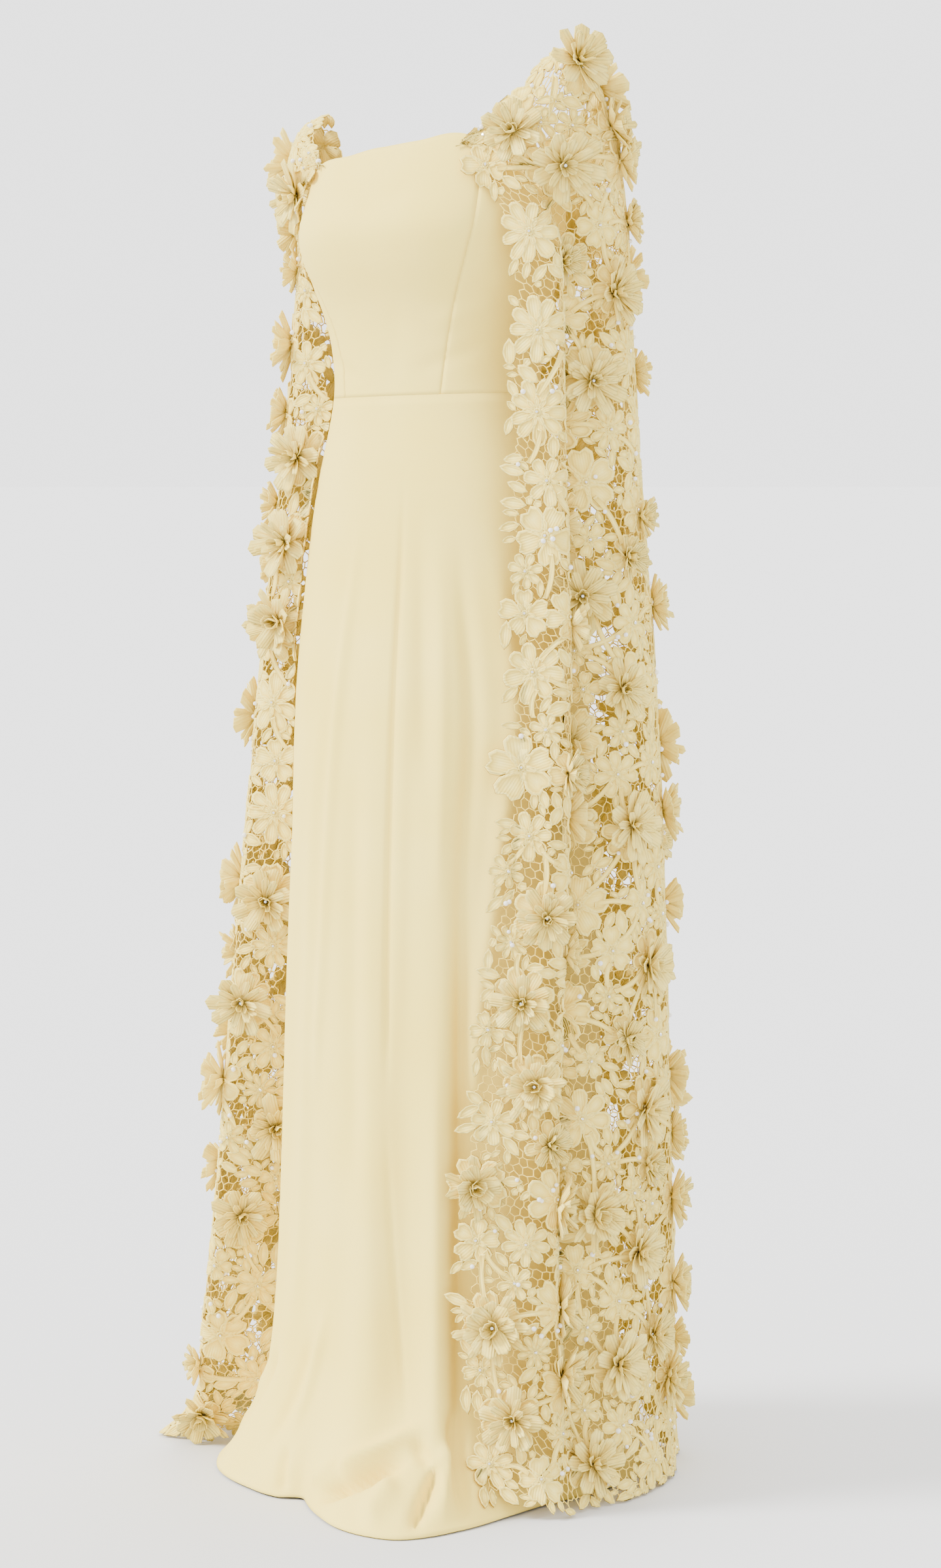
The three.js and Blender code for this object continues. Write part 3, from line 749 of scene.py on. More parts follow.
def cape_surface(folds, downs):
    """Points of the cape's outer face: one row of points for each fold value, ordered downwards."""
    points = np.empty((len(folds), len(downs), 3))
    for i, fold in enumerate(folds):
        top = float(seam_angle(fold))
        from_front = abs(float(wrapped(top)))
        top_height = float(seam_height_at(from_front)) - 0.5
        hem_height = float(cape_hem_at(fold))
        height = top_height + (hem_height - top_height) * downs
        settled = ease(top_height - height, 0, top_height - ARM_HEIGHT)
        angle, shin_angle = fold_at["angle"](fold), fold_at["at_shin"](fold)
        turns = {
            "height": np.array([0.0, SHIN_HEIGHT, THIGH_HEIGHT, ARM_HEIGHT]),
            "angle": np.array([
                fold_at["at_hem"](fold),
                shin_angle,
                angle - 0.15 * (angle - shin_angle),
                angle,
            ]),
        }
        hung = smooth(turns, "height", "angle")(height)
        turn = top + (hung - top) * settled
        shin, hem = fold_at["shin"](fold), fold_at["hem"](fold)
        toe_reach = shin + (hem - shin) * 0.35
        stations = {
            "height": np.array([TOE_HEIGHT, SHIN_HEIGHT, THIGH_HEIGHT, WAIST_HEIGHT, ARM_HEIGHT, top_height]),
            "reach": np.array([
                toe_reach,
                shin,
                fold_at["thigh"](fold),
                fold_at["waist"](fold),
                fold_at["bust"](fold),
                float(seam_reach(from_front)),
            ]),
        }
        reach = smooth(stations, "height", "reach")(height)
        toe = np.clip(1 - (height - hem_height) / (TOE_HEIGHT - hem_height), 0, 1) ** 2
        reach = reach + (hem - toe_reach) * toe
        for f0, d0, f1, d1, width, depth in CAPE_CREASES:
            across, along = (f1 - f0) * FOLD_WIDTH, (d1 - d0) * CAPE_LENGTH
            x, y = (fold - f0) * FOLD_WIDTH, (downs - d0) * CAPE_LENGTH
            reach = reach + crease(x, y, across, along, width, depth)
        loose = ease(top_height - height, 0, 40)
        least = gown_reach(turn, height) + SEWN_GAP + (LOOSE_GAP - SEWN_GAP) * loose
        points[i] = posed(turn, np.maximum(reach, least), height)
    return points


def yoke_surface(side, alongs, downs):
    """Points of a yoke's outer face, from its neck edge over the shoulder to its lower seam."""
    a = np.stack([smooth(YOKE_RIBS, "along", key)(alongs) for key in ("nx", "ny", "nz")], axis=-1)
    b = np.stack([smooth(YOKE_RIBS, "along", key)(alongs) for key in ("cx", "cy", "cz")], axis=-1)
    if side < 0:
        a[:, 2] -= RIGHT_CORNER_DROP * 0.8 * (1 - ease(alongs, 0, 0.45))
        fallen = ease(alongs, 0.48, 0.64) * (1 - ease(alongs, 0.86, 1.0))
        a[:, 2] -= BACK_DROP[0] * fallen
        b[:, 2] -= BACK_DROP[1] * fallen
    folds = (0, LEFT_SIDE_BACK) if side > 0 else (LAST_FOLD, RIGHT_SIDE_BACK)
    angle = np.abs(wrapped(seam_angle(folds[0] + (folds[1] - folds[0]) * alongs)))
    reach = seam_reach(angle)
    turn = np.radians(angle)
    c = np.stack([reach * np.sin(turn), -reach * np.cos(turn), seam_height_at(angle)], axis=-1)
    v = downs[None, :, None]
    p = (1 - v) ** 2 * a[:, None] + 2 * v * (1 - v) * b[:, None] + v * v * c[:, None]
    point_angle = np.degrees(np.arctan2(p[..., 0], -p[..., 1]))
    clear = section_reach(point_angle, p[..., 2]) + LACE_WALL + LACE_CLEARANCE
    out = np.maximum(np.hypot(p[..., 0], p[..., 1]), clear)
    return posed(side * point_angle, out, p[..., 2])


CHART_STEP = 4.0
FRAME_REACH = 6.0


def chart(points, downs, middle, beyond):
    """The lace laid flat: s runs along each level and t down, both in mm. Past the edges it goes on."""
    steps = np.linalg.norm(np.diff(points, axis=0), axis=-1)
    s = np.concatenate([np.zeros((1, points.shape[1])), np.cumsum(steps, axis=0)])
    s -= s[middle]
    s_line = np.arange(math.floor(s.min()) - beyond, s.max() + beyond, CHART_STEP)
    flat = np.empty((len(s_line), points.shape[1], 3))
    for j in range(points.shape[1]):
        for axis in range(3):
            flat[:, j, axis] = np.interp(s_line, s[:, j], points[:, j, axis])
        for edge, past in ((0, s_line < s[0, j]), (-1, s_line > s[-1, j])):
            near = points[3 if edge == 0 else -4, j]
            away = unit(points[edge, j] - near)
            distance = np.abs(s_line[past] - s[edge, j])
            flat[past, j] = points[edge, j] + distance[:, None] * away
    pitch = downs[1] - downs[0]
    spare = int(beyond / pitch)
    above = [2 * flat[:, :1] - flat[:, k : k + 1] for k in range(spare, 0, -1)]
    below = [2 * flat[:, -1:] - flat[:, -1 - k : -k or None] for k in range(1, spare + 1)]
    flat = np.concatenate(above + [flat] + below, axis=1)
    return {
        "points": flat,
        "normals": normals_of(flat),
        "s0": s_line[0],
        "t0": downs[0] - spare * pitch,
        "pitch": pitch,
        "edges": s,
        "downs": downs,
    }


def sampled(field, grid, s, t):
    """Values of a chart's grid at s and t, by straight steps between its points."""
    x = np.clip((s - field["s0"]) / CHART_STEP, 0, grid.shape[0] - 1.001)
    y = np.clip((t - field["t0"]) / field["pitch"], 0, grid.shape[1] - 1.001)
    i, j = x.astype(int), y.astype(int)
    x, y = (x - i)[..., None], (y - j)[..., None]
    top = grid[i, j] * (1 - x) + grid[i + 1, j] * x
    low = grid[i, j + 1] * (1 - x) + grid[i + 1, j + 1] * x
    return top * (1 - y) + low * y


def flat_frame(field, s, t):
    """How a millimetre across and a millimetre down the cloth move s and t, at each place."""
    points, r = field["points"], FRAME_REACH
    ps = (sampled(field, points, s + r, t) - sampled(field, points, s - r, t)) / (2 * r)
    pt = (sampled(field, points, s, t + r) - sampled(field, points, s, t - r)) / (2 * r)
    long = np.linalg.norm(ps, axis=-1)
    lean = (ps * pt).sum(-1) / long
    rise = np.sqrt(np.maximum((pt * pt).sum(-1) - lean**2, 0.15))
    return 1 / long, -lean / rise / long, 1 / rise


def placed(field, s, t, turn, x, y):
    """Places in the chart for points x and y (in mm) of a motif that lies at s and t, turned."""
    along, shear, fall = flat_frame(field, s, t)
    cos, sin = np.cos(turn)[:, None], np.sin(turn)[:, None]
    u, v = x * cos - y * sin, x * sin + y * cos
    return s[:, None] + along[:, None] * u + shear[:, None] * v, t[:, None] + fall[:, None] * v


MOTIF_CLEARANCE = 0.9
CORNER_RISE = 4.0


def off_gown(points):
    """The same points, moved out of the gown and up off the floor where they would touch."""
    x, y, z = points[..., 0], points[..., 1], points[..., 2]
    height = z - x * rise_at(z)
    angle = np.degrees(np.arctan2(x, -y))
    reach = np.hypot(x, y)
    least = gown_reach(angle, height) + MOTIF_CLEARANCE
    beside = height < neckline(angle) + CORNER_RISE
    grow = np.where(beside & (reach < least), least / reach, 1)
    return np.stack([x * grow, y * grow, np.maximum(z, FLOOR_GAP)], axis=-1)


FOLD_STEPS = 24
MIDDLE_FOLD = 9
CAPE_PITCH = 5.0
CAPE_MARGIN, YOKE_MARGIN = 36, 20
YOKE_LENGTH = 112.0
YOKE_COLUMNS, YOKE_ROWS = 97, 29
evenly = np.linspace(0, 1, int(CAPE_LENGTH / CAPE_PITCH) + 1)
fold_line = np.linspace(0, LAST_FOLD, LAST_FOLD * FOLD_STEPS + 1)
cape_points = cape_surface(fold_line, evenly)
cape_field = chart(cape_points, evenly * CAPE_LENGTH, MIDDLE_FOLD * FOLD_STEPS, CAPE_MARGIN)
yoke_line, yoke_downs = np.linspace(0, 1, YOKE_COLUMNS), np.linspace(0, 1, YOKE_ROWS)
yoke_fields = {}
for side in (1, -1):
    yoke_points = yoke_surface(side, yoke_line, yoke_downs)[::side]
    yoke_fields[side] = chart(yoke_points, yoke_downs * YOKE_LENGTH, YOKE_COLUMNS // 2, YOKE_MARGIN)

# The lace ground: flat flowers, leaf pods and stems satin-stitched side by side in thick cotton, each
# with a raised cord round its edge. They are worked in one with the net and cut to the cape's shape.
UNDER_EDGE, HUMP = -1.1, 0.7
# how pale each ring is painted, from 0 to 1: painted shade at the under edge and in the sunk bed, painted
# highlight on the raised cord and the middle hump
EDGE_SHADE_TONE, CORD_HIGHLIGHT_TONE, BED_SHADE_TONE, MIDDLE_HIGHLIGHT_TONE = 0.0, 1.0, 0.34, 0.8


def raised_motif(outline, middle, crest, floor, rim=0.9, bed=0.7):
    """A closed little relief: under edge, raised cord, sunk bed and a low hump in the middle."""
    ring = np.array(outline, dtype=float)
    core = np.array(middle, dtype=float)
    k = len(ring)
    xy = np.concatenate([ring, core + rim * (ring - core), core + bed * (ring - core), core[None]])
    high = np.repeat([UNDER_EDGE, crest, floor, floor + HUMP], (k, k, k, 1))
    # each ring's painted tone: painted shade at the foot and in the bed, painted highlight on the cord and
    # hump
    relief = np.repeat([EDGE_SHADE_TONE, CORD_HIGHLIGHT_TONE, BED_SHADE_TONE, MIDDLE_HIGHLIGHT_TONE], (k, k, k, 1))
    a = np.arange(k)
    b = (a + 1) % k
    quads = np.concatenate([
        np.stack([a, b, b + k, a + k], axis=1),
        np.stack([a + k, b + k, b + 2 * k, a + 2 * k], axis=1),
    ])
    fan = np.stack([a + 2 * k, b + 2 * k, np.full(k, 3 * k)], axis=1)
    return {"xy": xy, "high": high, "relief": relief, "faces": [quads, fan, a[::-1][None]]}


def mirrored(*half):
    """A motif's outline from the points of its right side, base to tip, anticlockwise."""
    right = list(half)
    left = [(-x, y) for x, y in reversed(half) if x > 0]
    return right + left


def ringed(count, radii):
    """A round outline of that many points, at two radii by turns."""
    turns = [2 * math.pi * k / count for k in range(count)]
    return [(radii[k % 2] * math.cos(a), radii[k % 2] * math.sin(a)) for k, a in enumerate(turns)]


STEM_HALF = 0.045
STEM_BOW = 0.26


def curved_stem(side):
    """A thin stem from base to tip that bows out to one side."""
    run = np.linspace(0.0, 1.0, 8)
    bow = STEM_BOW * run * (1 - run)
    rising = [(side * x + STEM_HALF, y) for x, y in zip(bow, run)]
    falling = [(side * x - STEM_HALF, y) for x, y in zip(bow[::-1], run[::-1])]
    return raised_motif(rising + falling, (side * STEM_BOW / 4, 0.5), 1.3, 0.9, 0.97, 0.9)


# Every motif is drawn 1 long, from its foot at the origin to its tip; crest and floor are in mm.
round_petal = raised_motif(
    mirrored((0, 0), (0.17, 0.16), (0.36, 0.46), (0.40, 0.74), (0.25, 0.95), (0, 1.0)), (0, 0.6), 1.5, -0.2
)
lobed_petal = raised_motif(
    mirrored((0, 0), (0.20, 0.18), (0.43, 0.50), (0.44, 0.80), (0.24, 1.0), (0, 0.89)), (0, 0.58), 1.6, -0.2
)
leaf_pod = raised_motif(
    mirrored((0, 0), (0.19, 0.24), (0.25, 0.52), (0.16, 0.82), (0, 1.0)), (0, 0.5), 1.5, -0.2
)
inner_petal = raised_motif(
    mirrored((0, 0.05), (0.17, 0.35), (0.19, 0.7), (0, 1.0)), (0, 0.6), 1.7, 0.9, 0.8, 0.5
)
flower_eye = raised_motif(ringed(8, (1.0, 1.0)), (0, 0), 2.6, 1.3, 0.78, 0.45)
floret = raised_motif(ringed(10, (0.8, 1.0)), (0, 0), 1.0, 0.1)
stems = (curved_stem(1), curved_stem(-1))
FLOWER_KINDS = (
    # petals, motif, width for its length, share of the flowers still plain that get it
    (5, lobed_petal, 0.98, 0.4),
    (7, round_petal, 0.76, 0.72),
    (9, round_petal, 0.62, 1.01),
)
# in mm: how far a petal's foot lies from the middle, a stem's drawn width, the least sum of two
# joined flowers' radii, how far apart the patches of net lie, and how wide and tall they are
PETAL_FOOT = 2.2
STEM_WIDTH = 60.0
STEMMED = 45.0
NET_APART = 45.0
NET_WIDE, NET_TALL = (13, 24), (10, 17)
# how much of a leaf may lie on such a patch, and the size of a mask's cell in mm
NET_COVERED = 0.12
MASK_STEP = 1.5


def mask_for(field):
    """An empty picture of a chart, one cell for each step."""
    across = field["points"].shape[0] * CHART_STEP / MASK_STEP
    down = field["points"].shape[1] * field["pitch"] / MASK_STEP
    return np.zeros((int(across) + 2, int(down) + 2), dtype=bool)


def window(field, mask, s, t):
    """The mask's cells that a flat outline covers, as a slice and a small picture of it."""
    x, y = (s - field["s0"]) / MASK_STEP, (t - field["t0"]) / MASK_STEP
    i0, i1 = max(int(x.min()), 0), min(int(x.max()) + 2, mask.shape[0])
    j0, j1 = max(int(y.min()), 0), min(int(y.max()) + 2, mask.shape[1])
    if i1 <= i0 or j1 <= j0:
        return (slice(0, 0), slice(0, 0)), np.zeros((0, 0), dtype=bool)
    px, py = np.arange(i0, i1)[:, None, None] + 0.5, np.arange(j0, j1)[None, :, None] + 0.5
    nx, ny = np.roll(x, -1), np.roll(y, -1)
    crossing = (y > py) != (ny > py)
    slope = (nx - x) / np.where(ny == y, 1e-9, ny - y)
    left = crossing & (px < x + slope * (py - y))
    return (slice(i0, i1), slice(j0, j1)), left.sum(axis=2) % 2 == 1


def inside(field, s, t, margin):
    """Whether places lie between the lace's two edges, by a margin."""
    low = np.interp(t, field["downs"], field["edges"][0]) + margin
    high = np.interp(t, field["downs"], field["edges"][-1]) - margin
    return (s > low) & (s < high)


def strewn_flowers(field, rng, sizes, top, bottom):
    """Centres and radii of flowers, the largest first, each as close to the others as it may lie."""
    found = np.zeros((4000, 3))
    count = 0
    low, high = field["edges"].min(), field["edges"].max()
    for radius, apart, tries, margin in sizes:
        s, t = rng.uniform(low, high, tries), rng.uniform(top, bottom, tries)
        fits = inside(field, s, t, margin)
        for one_s, one_t in zip(s[fits], t[fits]):
            near = np.hypot(found[:count, 0] - one_s, found[:count, 1] - one_t)
            space = np.where(found[:count, 2] == radius, apart, (found[:count, 2] + radius) * 0.95)
            if (near > space).all():
                found[count] = one_s, one_t, radius
                count += 1
    return found[:count]


class Ground:
    """The lace of one cut field: what has been laid on it, and which of its cells are covered."""

    def __init__(self, field, seed, sizes, top, bottom):
        self.field, self.rng = field, np.random.default_rng(seed)
        self.mask, self.open = mask_for(field), mask_for(field)
        self.laid = []
        self.flowers = strewn_flowers(field, self.rng, sizes, top, bottom)
        self.top, self.bottom = top, bottom

    def lay(self, motif, s, t, turn, length, width, lift):
        """Lays many of one motif, each with its own size (mm), turn and lift off the cloth."""
        s, t, turn, length, width, lift = np.broadcast_arrays(
            *(np.asarray(v, dtype=float) for v in (s, t, turn, length, width, lift))
        )
        x = motif["xy"][None, :, 0] * width[:, None]
        y = motif["xy"][None, :, 1] * length[:, None]
        at_s, at_t = placed(self.field, s, t, turn, x, y)
        at_t = np.clip(at_t, self.field["downs"][0] - 12, self.field["downs"][-1] + 6)
        high = motif["high"][None] + lift[:, None]
        points = sampled(self.field, self.field["points"], at_s, at_t)
        points = points + sampled(self.field, self.field["normals"], at_s, at_t) * high[..., None]
        self.laid.append((motif, s, t, points, np.stack([x, y], axis=-1) / 1000))
        ring = (len(motif["xy"]) - 1) // 3
        for k in range(len(s)):
            place, shape = window(self.field, self.mask, at_s[k, :ring], at_t[k, :ring])
            self.mask[place] |= shape

    def covers(self, s, t):
        """Whether worked motifs lie at those places."""
        i = np.clip(((s - self.field["s0"]) / MASK_STEP).astype(int), 0, self.mask.shape[0] - 1)
        j = np.clip(((t - self.field["t0"]) / MASK_STEP).astype(int), 0, self.mask.shape[1] - 1)
        return self.mask[i, j]

    def bare_places(self, taken, margin, above, below):
        """The places that a mask leaves free, in random order, up to some way past the ends."""
        cells = np.argwhere(~taken)
        self.rng.shuffle(cells)
        s = cells[:, 0] * MASK_STEP + self.field["s0"]
        t = cells[:, 1] * MASK_STEP + self.field["t0"]
        fits = inside(self.field, s, t, margin) & (t > self.top - above) & (t < self.bottom + below)
        return s[fits], t[fits]

    def flat_flowers(self):
        """Works each flower: a ring of petals, a ring of small ones between them, and an eye."""
        s, t, radius = self.flowers.T
        rng = self.rng
        taken = np.zeros(len(s), dtype=bool)
        for petals, motif, width, share in FLOWER_KINDS:
            pick = ~taken & (rng.random(len(s)) < share)
            taken |= pick
            start = rng.uniform(0, 6.28, pick.sum())
            for k in range(petals):
                turn = start + 2 * math.pi * k / petals + rng.normal(0, 0.05, pick.sum())
                grow = rng.uniform(0.9, 1.08, pick.sum())
                at_s = s[pick] - PETAL_FOOT * np.sin(turn)
                at_t = t[pick] + PETAL_FOOT * np.cos(turn)
                long = (radius[pick] - PETAL_FOOT) * grow
                self.lay(motif, at_s, at_t, turn, long, long * width, 0.35 * (k % 2))
            for k in range(petals):
                turn = start + 2 * math.pi * (k + 0.5) / petals
                self.lay(inner_petal, s[pick], t[pick], turn, radius[pick] * 0.52, radius[pick] * 0.5, 0.2)
        self.lay(flower_eye, s, t, 0.0, radius * 0.13 + 0.8, radius * 0.13 + 0.8, 0.6)

    def join_flowers(self, reach):
        """Smooth curved stems from flower to flower, where two large ones have room between them."""
        s, t, radius = self.flowers.T
        ends = []
        for a, b in zip(*np.triu_indices(len(s), 1)):
            gap = math.hypot(s[a] - s[b], t[a] - t[b]) - radius[a] - radius[b]
            if radius[a] + radius[b] > STEMMED and 2 < gap < reach:
                ends.append((a, b))
        ends = np.array(ends)[self.rng.random(len(ends)) < 0.5]
        a, b = ends.T
        turn = np.arctan2(-(s[b] - s[a]), t[b] - t[a])
        long = np.hypot(s[b] - s[a], t[b] - t[a]) - (radius[a] + radius[b]) * 0.5
        at_s, at_t = s[a] - np.sin(turn) * radius[a] * 0.5, t[a] + np.cos(turn) * radius[a] * 0.5
        for first, motif in enumerate(stems):
            one = slice(first, None, 2)
            self.lay(motif, at_s[one], at_t[one], turn[one], long[one], STEM_WIDTH, 0.9)

    def spare_net(self):
        """Keeps some round patches between the flowers free of leaves, for net to show."""
        kept = []
        s_all, t_all = self.bare_places(self.mask, 6, 10, 0)
        for s, t in zip(s_all[:6000], t_all[:6000]):
            clear = (np.hypot(self.flowers[:, 0] - s, self.flowers[:, 1] - t) - self.flowers[:, 2]).min()
            if clear < 3 or any(math.hypot(s - a, t - b) < NET_APART for a, b in kept):
                continue
            kept.append((s, t))
            ring = np.linspace(0, 2 * math.pi, 12, endpoint=False)
            wide, tall = self.rng.uniform(*NET_WIDE), self.rng.uniform(*NET_TALL)
            place, shape = window(self.field, self.open, s + wide * np.cos(ring), t + tall * np.sin(ring))
            self.open[place] |= shape

    def fill(self, motif, middle, sizes, width, tries, overlap, leaning):
        """Fills what is left with leaves or florets wherever one fits, growing out from the flowers."""
        s, t = self.bare_places(self.mask | self.open, -2, 18, 14)
        s, t = s[:tries], t[:tries]
        n = len(s)
        heads = self.flowers
        near = np.array([np.argmin((heads[:, 0] - a) ** 2 + (heads[:, 1] - b) ** 2) for a, b in zip(s, t)])
        away = np.arctan2(-(s - heads[near, 0]), t - heads[near, 1])
        turn = away + self.rng.normal(0, leaning, n)
        long = self.rng.uniform(*sizes, n)
        wide = long * width * self.rng.uniform(0.85, 1.15, n)
        base_s = s + np.sin(turn) * long * middle
        base_t = t - np.cos(turn) * long * middle
        ring = motif["xy"][: (len(motif["xy"]) - 1) // 3]
        x, y = ring[None, :, 0] * wide[:, None], ring[None, :, 1] * long[:, None]
        at_s, at_t = placed(self.field, base_s, base_t, turn, x, y)
        chosen = np.zeros(n, dtype=bool)
        busy = self.mask.copy()
        for k in range(n):
            if at_t[k].min() < self.field["downs"][0] - 10 or at_t[k].max() > self.field["downs"][-1] + 5:
                continue
            place, shape = window(self.field, busy, at_s[k], at_t[k])
            area = shape.sum()
            if area == 0:
                continue
            spared = (self.open[place] & shape).sum() < NET_COVERED * area
            if spared and (busy[place] & shape).sum() < overlap * area:
                chosen[k] = True
                busy[place] |= shape
        self.lay(motif, base_s[chosen], base_t[chosen], turn[chosen], long[chosen], wide[chosen], 0.15)


CAPE_FLOWERS = (
    # radius, distance from others of the size, tries, margin from the edges (mm)
    (35.0, 82.0, 12000, 12.0),
    (27.0, 52.0, 16000, 12.0),
    (20.0, 38.0, 20000, 6.0),
)
YOKE_FLOWERS = ((27.0, 58.0, 900, 20.0), (19.0, 38.0, 1500, 10.0))
LEAF_FILLINGS = (
    # motif, where its middle lies, lengths (mm), width, tries, overlap allowed, how far it leans
    (leaf_pod, 0.5, (22, 33), 0.95, 12000, 0.18, 0.45),
    (leaf_pod, 0.5, (14, 21), 1.0, 12000, 0.2, 0.8),
    (floret, 0.0, (4.5, 7), 1.0, 5000, 0.15, 1.0),
)


def worked(field, seed, sizes, top, bottom, stem_reach):
    """The whole ground of one piece of lace, with stems where they have room to reach."""
    ground = Ground(field, seed, sizes, top, bottom)
    ground.flat_flowers()
    if stem_reach:
        ground.join_flowers(stem_reach)
    ground.spare_net()
    for filling in LEAF_FILLINGS:
        ground.fill(*filling)
    return ground


def lace_material(name, crest, bed, foot):
    """Satin-stitched cotton: fine threads, with painted highlight on the raised cords and painted shade in
    the sunk beds and at the foot of each.
    """
    material, tree, shader = blank_material(name, 0.85, 0.06, (1.0, 0.86, 0.55))
    # the ramp runs from painted shade at each motif's foot, through the bed's tone, partly the cotton's own
    # and partly painted shade, to the crest, the cotton's tone lifted as painted highlight
    place, cloud, tone = clouded(tree, shader, 14.0, 3.0, ((0.2, foot), (0.6, bed), (1.0, crest)))
    relief = add_node(tree, "ShaderNodeAttribute", attribute_name="relief")
    reverse = add_node(tree, "ShaderNodeAttribute", attribute_name="reverse")
    facing = add_node(tree, "ShaderNodeMath", operation="MULTIPLY_ADD")
    facing.inputs[1].default_value = 0.75
    mottle = add_node(tree, "ShaderNodeMath", operation="MULTIPLY_ADD")
    mottle.inputs[1].default_value = 0.4
    # the tone, painted shade and highlight, follows the relief and the smooth reverse, and the clouding only
    # shifts it
    join_nodes(
        tree,
        (reverse, "Fac", facing, 0),
        (relief, "Fac", facing, 2),
        (cloud, "Fac", mottle, 0),
        (facing, "Value", mottle, 2),
        (mottle, "Value", tone, "Fac"),
    )
    stitch = add_node(tree, "ShaderNodeTexWave", Scale=112.0, Distortion=1.5)
    fuzz = add_node(tree, "ShaderNodeTexNoise", Scale=900.0, Detail=2.0)
    roughened(tree, shader, place, stitch, fuzz, 0.35, 0.6, 0.001)
    return material


# the crest's colour, the bed's deeper colour that is partly painted shade, and a dark brown foot that is
# painted shade
lace = lace_material("guipure_lace", (0.96, 0.785, 0.22), (0.86, 0.64, 0.12), (0.22, 0.10, 0.01))


def panel_of(field, borders, s, t):
    """Which cut panel each place lies on, counted past the borders between them."""
    lines = [np.interp(t, field["downs"], field["edges"][border]) for border in borders]
    return sum((s > line).astype(int) for line in lines) if lines else np.zeros(len(s), int)


def worked_pieces(ground, borders, names):
    """Parts the laid motifs between the cut panels and makes each panel's mesh."""
    meshes = []
    for index, name in enumerate(names):
        points, uvs, relief, faces, start = [], [], [], {}, 0
        for motif, s, t, places, uv in ground.laid:
            pick = panel_of(ground.field, borders, s, t) == index
            n, k = int(pick.sum()), places.shape[1]
            if n == 0:
                continue
            points.append(places[pick].reshape(-1, 3))
            uvs.append(uv[pick].reshape(-1, 2))
            relief.append(np.tile(motif["relief"], n))
            first = start + np.arange(n)[:, None, None] * k
            for face in motif["faces"]:
                faces.setdefault(face.shape[1], []).append((first + face[None]).reshape(-1, face.shape[1]))
            start += n * k
        sides = [np.concatenate(group) for group in faces.values()]
        mesh = fill_mesh(name, off_gown(np.concatenate(points)), sides, np.concatenate(uvs), lace)
        # a motif's reverse is its only face of more than four corners
        reverse = np.concatenate([np.full(len(group), group.shape[1] > 4) for group in sides])
        relief = np.concatenate(relief)
        # relief carries each point's painted shade and highlight tone to the lace finish
        for label, domain, values in (("relief", "POINT", relief), ("reverse", "FACE", reverse)):
            attribute = mesh.attributes.new(label, "FLOAT", domain)
            attribute.data.foreach_set("value", values.astype(np.float32))
        meshes.append(mesh)
    return meshes


LACE_PIECES = (
    # name, node
    ("left_front", "cape_left_front"),
    ("left_side", "cape_left_side"),
    ("back", "cape_back"),
    ("right", "cape_right"),
)
cape_ground = worked(cape_field, 11, CAPE_FLOWERS, 14, CAPE_LENGTH - 16, 34)
BORDERS = [fold * FOLD_STEPS for fold in (LEFT_VALLEY, LEFT_SIDE_BACK, RIGHT_SIDE_BACK)]


def panel_cut(field, first, last):
    """A panel's flat width at its widest, its length and its area, all in metres."""
    width = field["edges"][last] - field["edges"][first]
    length = field["downs"][-1] / 1000
    return width.max() / 1000, length, width.mean() * length / 1000


def add_lace(name, mesh, node, cut):
    """One cut piece of lace, and a list for what is sewn to it."""
    piece = put("lace_" + name, mesh)
    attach(piece, "root")
    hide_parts(node)
    lace_sheets.append((name, piece, cut))
    carried[name] = []


lace_sheets, carried, yoke_grounds = [], {}, {}
stops = [0] + BORDERS + [LAST_FOLD * FOLD_STEPS]
cape_meshes = worked_pieces(cape_ground, BORDERS, ["lace_" + name for name, _ in LACE_PIECES])
for (name, node), mesh, first, last in zip(LACE_PIECES, cape_meshes, stops, stops[1:]):
    add_lace(name, mesh, node, panel_cut(cape_field, first, last))
for side, name in ((1, "yoke_left"), (-1, "yoke_right")):
    yoke_grounds[side] = worked(yoke_fields[side], 20 + side, YOKE_FLOWERS, 14, YOKE_LENGTH - 6, 0)
    mesh = worked_pieces(yoke_grounds[side], [], ["lace_" + name])[0]
    add_lace(name, mesh, name, panel_cut(yoke_fields[side], 0, -1))

# The net between the motifs: single wrapped threads worked across each gap from edge to edge, in
# uneven cells of five or six sides. It is there only where the ground leaves the cape open.
NET_CELL = 10.4
NET_STRAY = 0.825
NET_SUNK = 0.5
# in metres: past this the pieces sewn to the lace are drawn in, and none lies lower than this
LEFT_LIMIT = cad_box[1][0] + 0.008
LOWEST = FLOOR_Z + 0.0005


def blank_tree(name, *inputs):
    """A Geometry Nodes tree with named inputs, which ends by making all real and setting its finish."""
    tree = bpy.data.node_groups.new(name, "GeometryNodeTree")
    for label, kind in (("Geometry", "Geometry"), *inputs, ("Finish", "Material")):
        tree.interface.new_socket(label, in_out="INPUT", socket_type="NodeSocket" + kind)
    tree.interface.new_socket("Geometry", in_out="OUTPUT", socket_type="NodeSocketGeometry")
    given, made = add_node(tree, "NodeGroupInput"), add_node(tree, "NodeGroupOutput")
    real = add_node(tree, "GeometryNodeRealizeInstances")
    finish = add_node(tree, "GeometryNodeSetMaterial")
    join_nodes(
        tree,
        (real, "Geometry", finish, "Geometry"),
        (given, "Finish", finish, "Material"),
        (finish, "Geometry", made, "Geometry"),
    )
    return tree, given, real


def net_tree():
    """Makes a round thread along every edge of a plan."""
    tree, given, real = blank_tree("net_bars", ("Bar radius", "Float"), ("Bar sides", "Int"))
    line = add_node(tree, "GeometryNodeMeshToCurve")
    ring = add_node(tree, "GeometryNodeCurvePrimitiveCircle")
    tube = add_node(tree, "GeometryNodeCurveToMesh", **{"Fill Caps": True})
    join_nodes(
        tree,
        (given, "Geometry", line, "Mesh"),
        (given, "Bar radius", ring, "Radius"),
        (given, "Bar sides", ring, "Resolution"),
        (line, "Curve", tube, "Curve"),
        (ring, "Curve", tube, "Profile Curve"),
        (tube, "Mesh", real, "Geometry"),
    )
    return tree


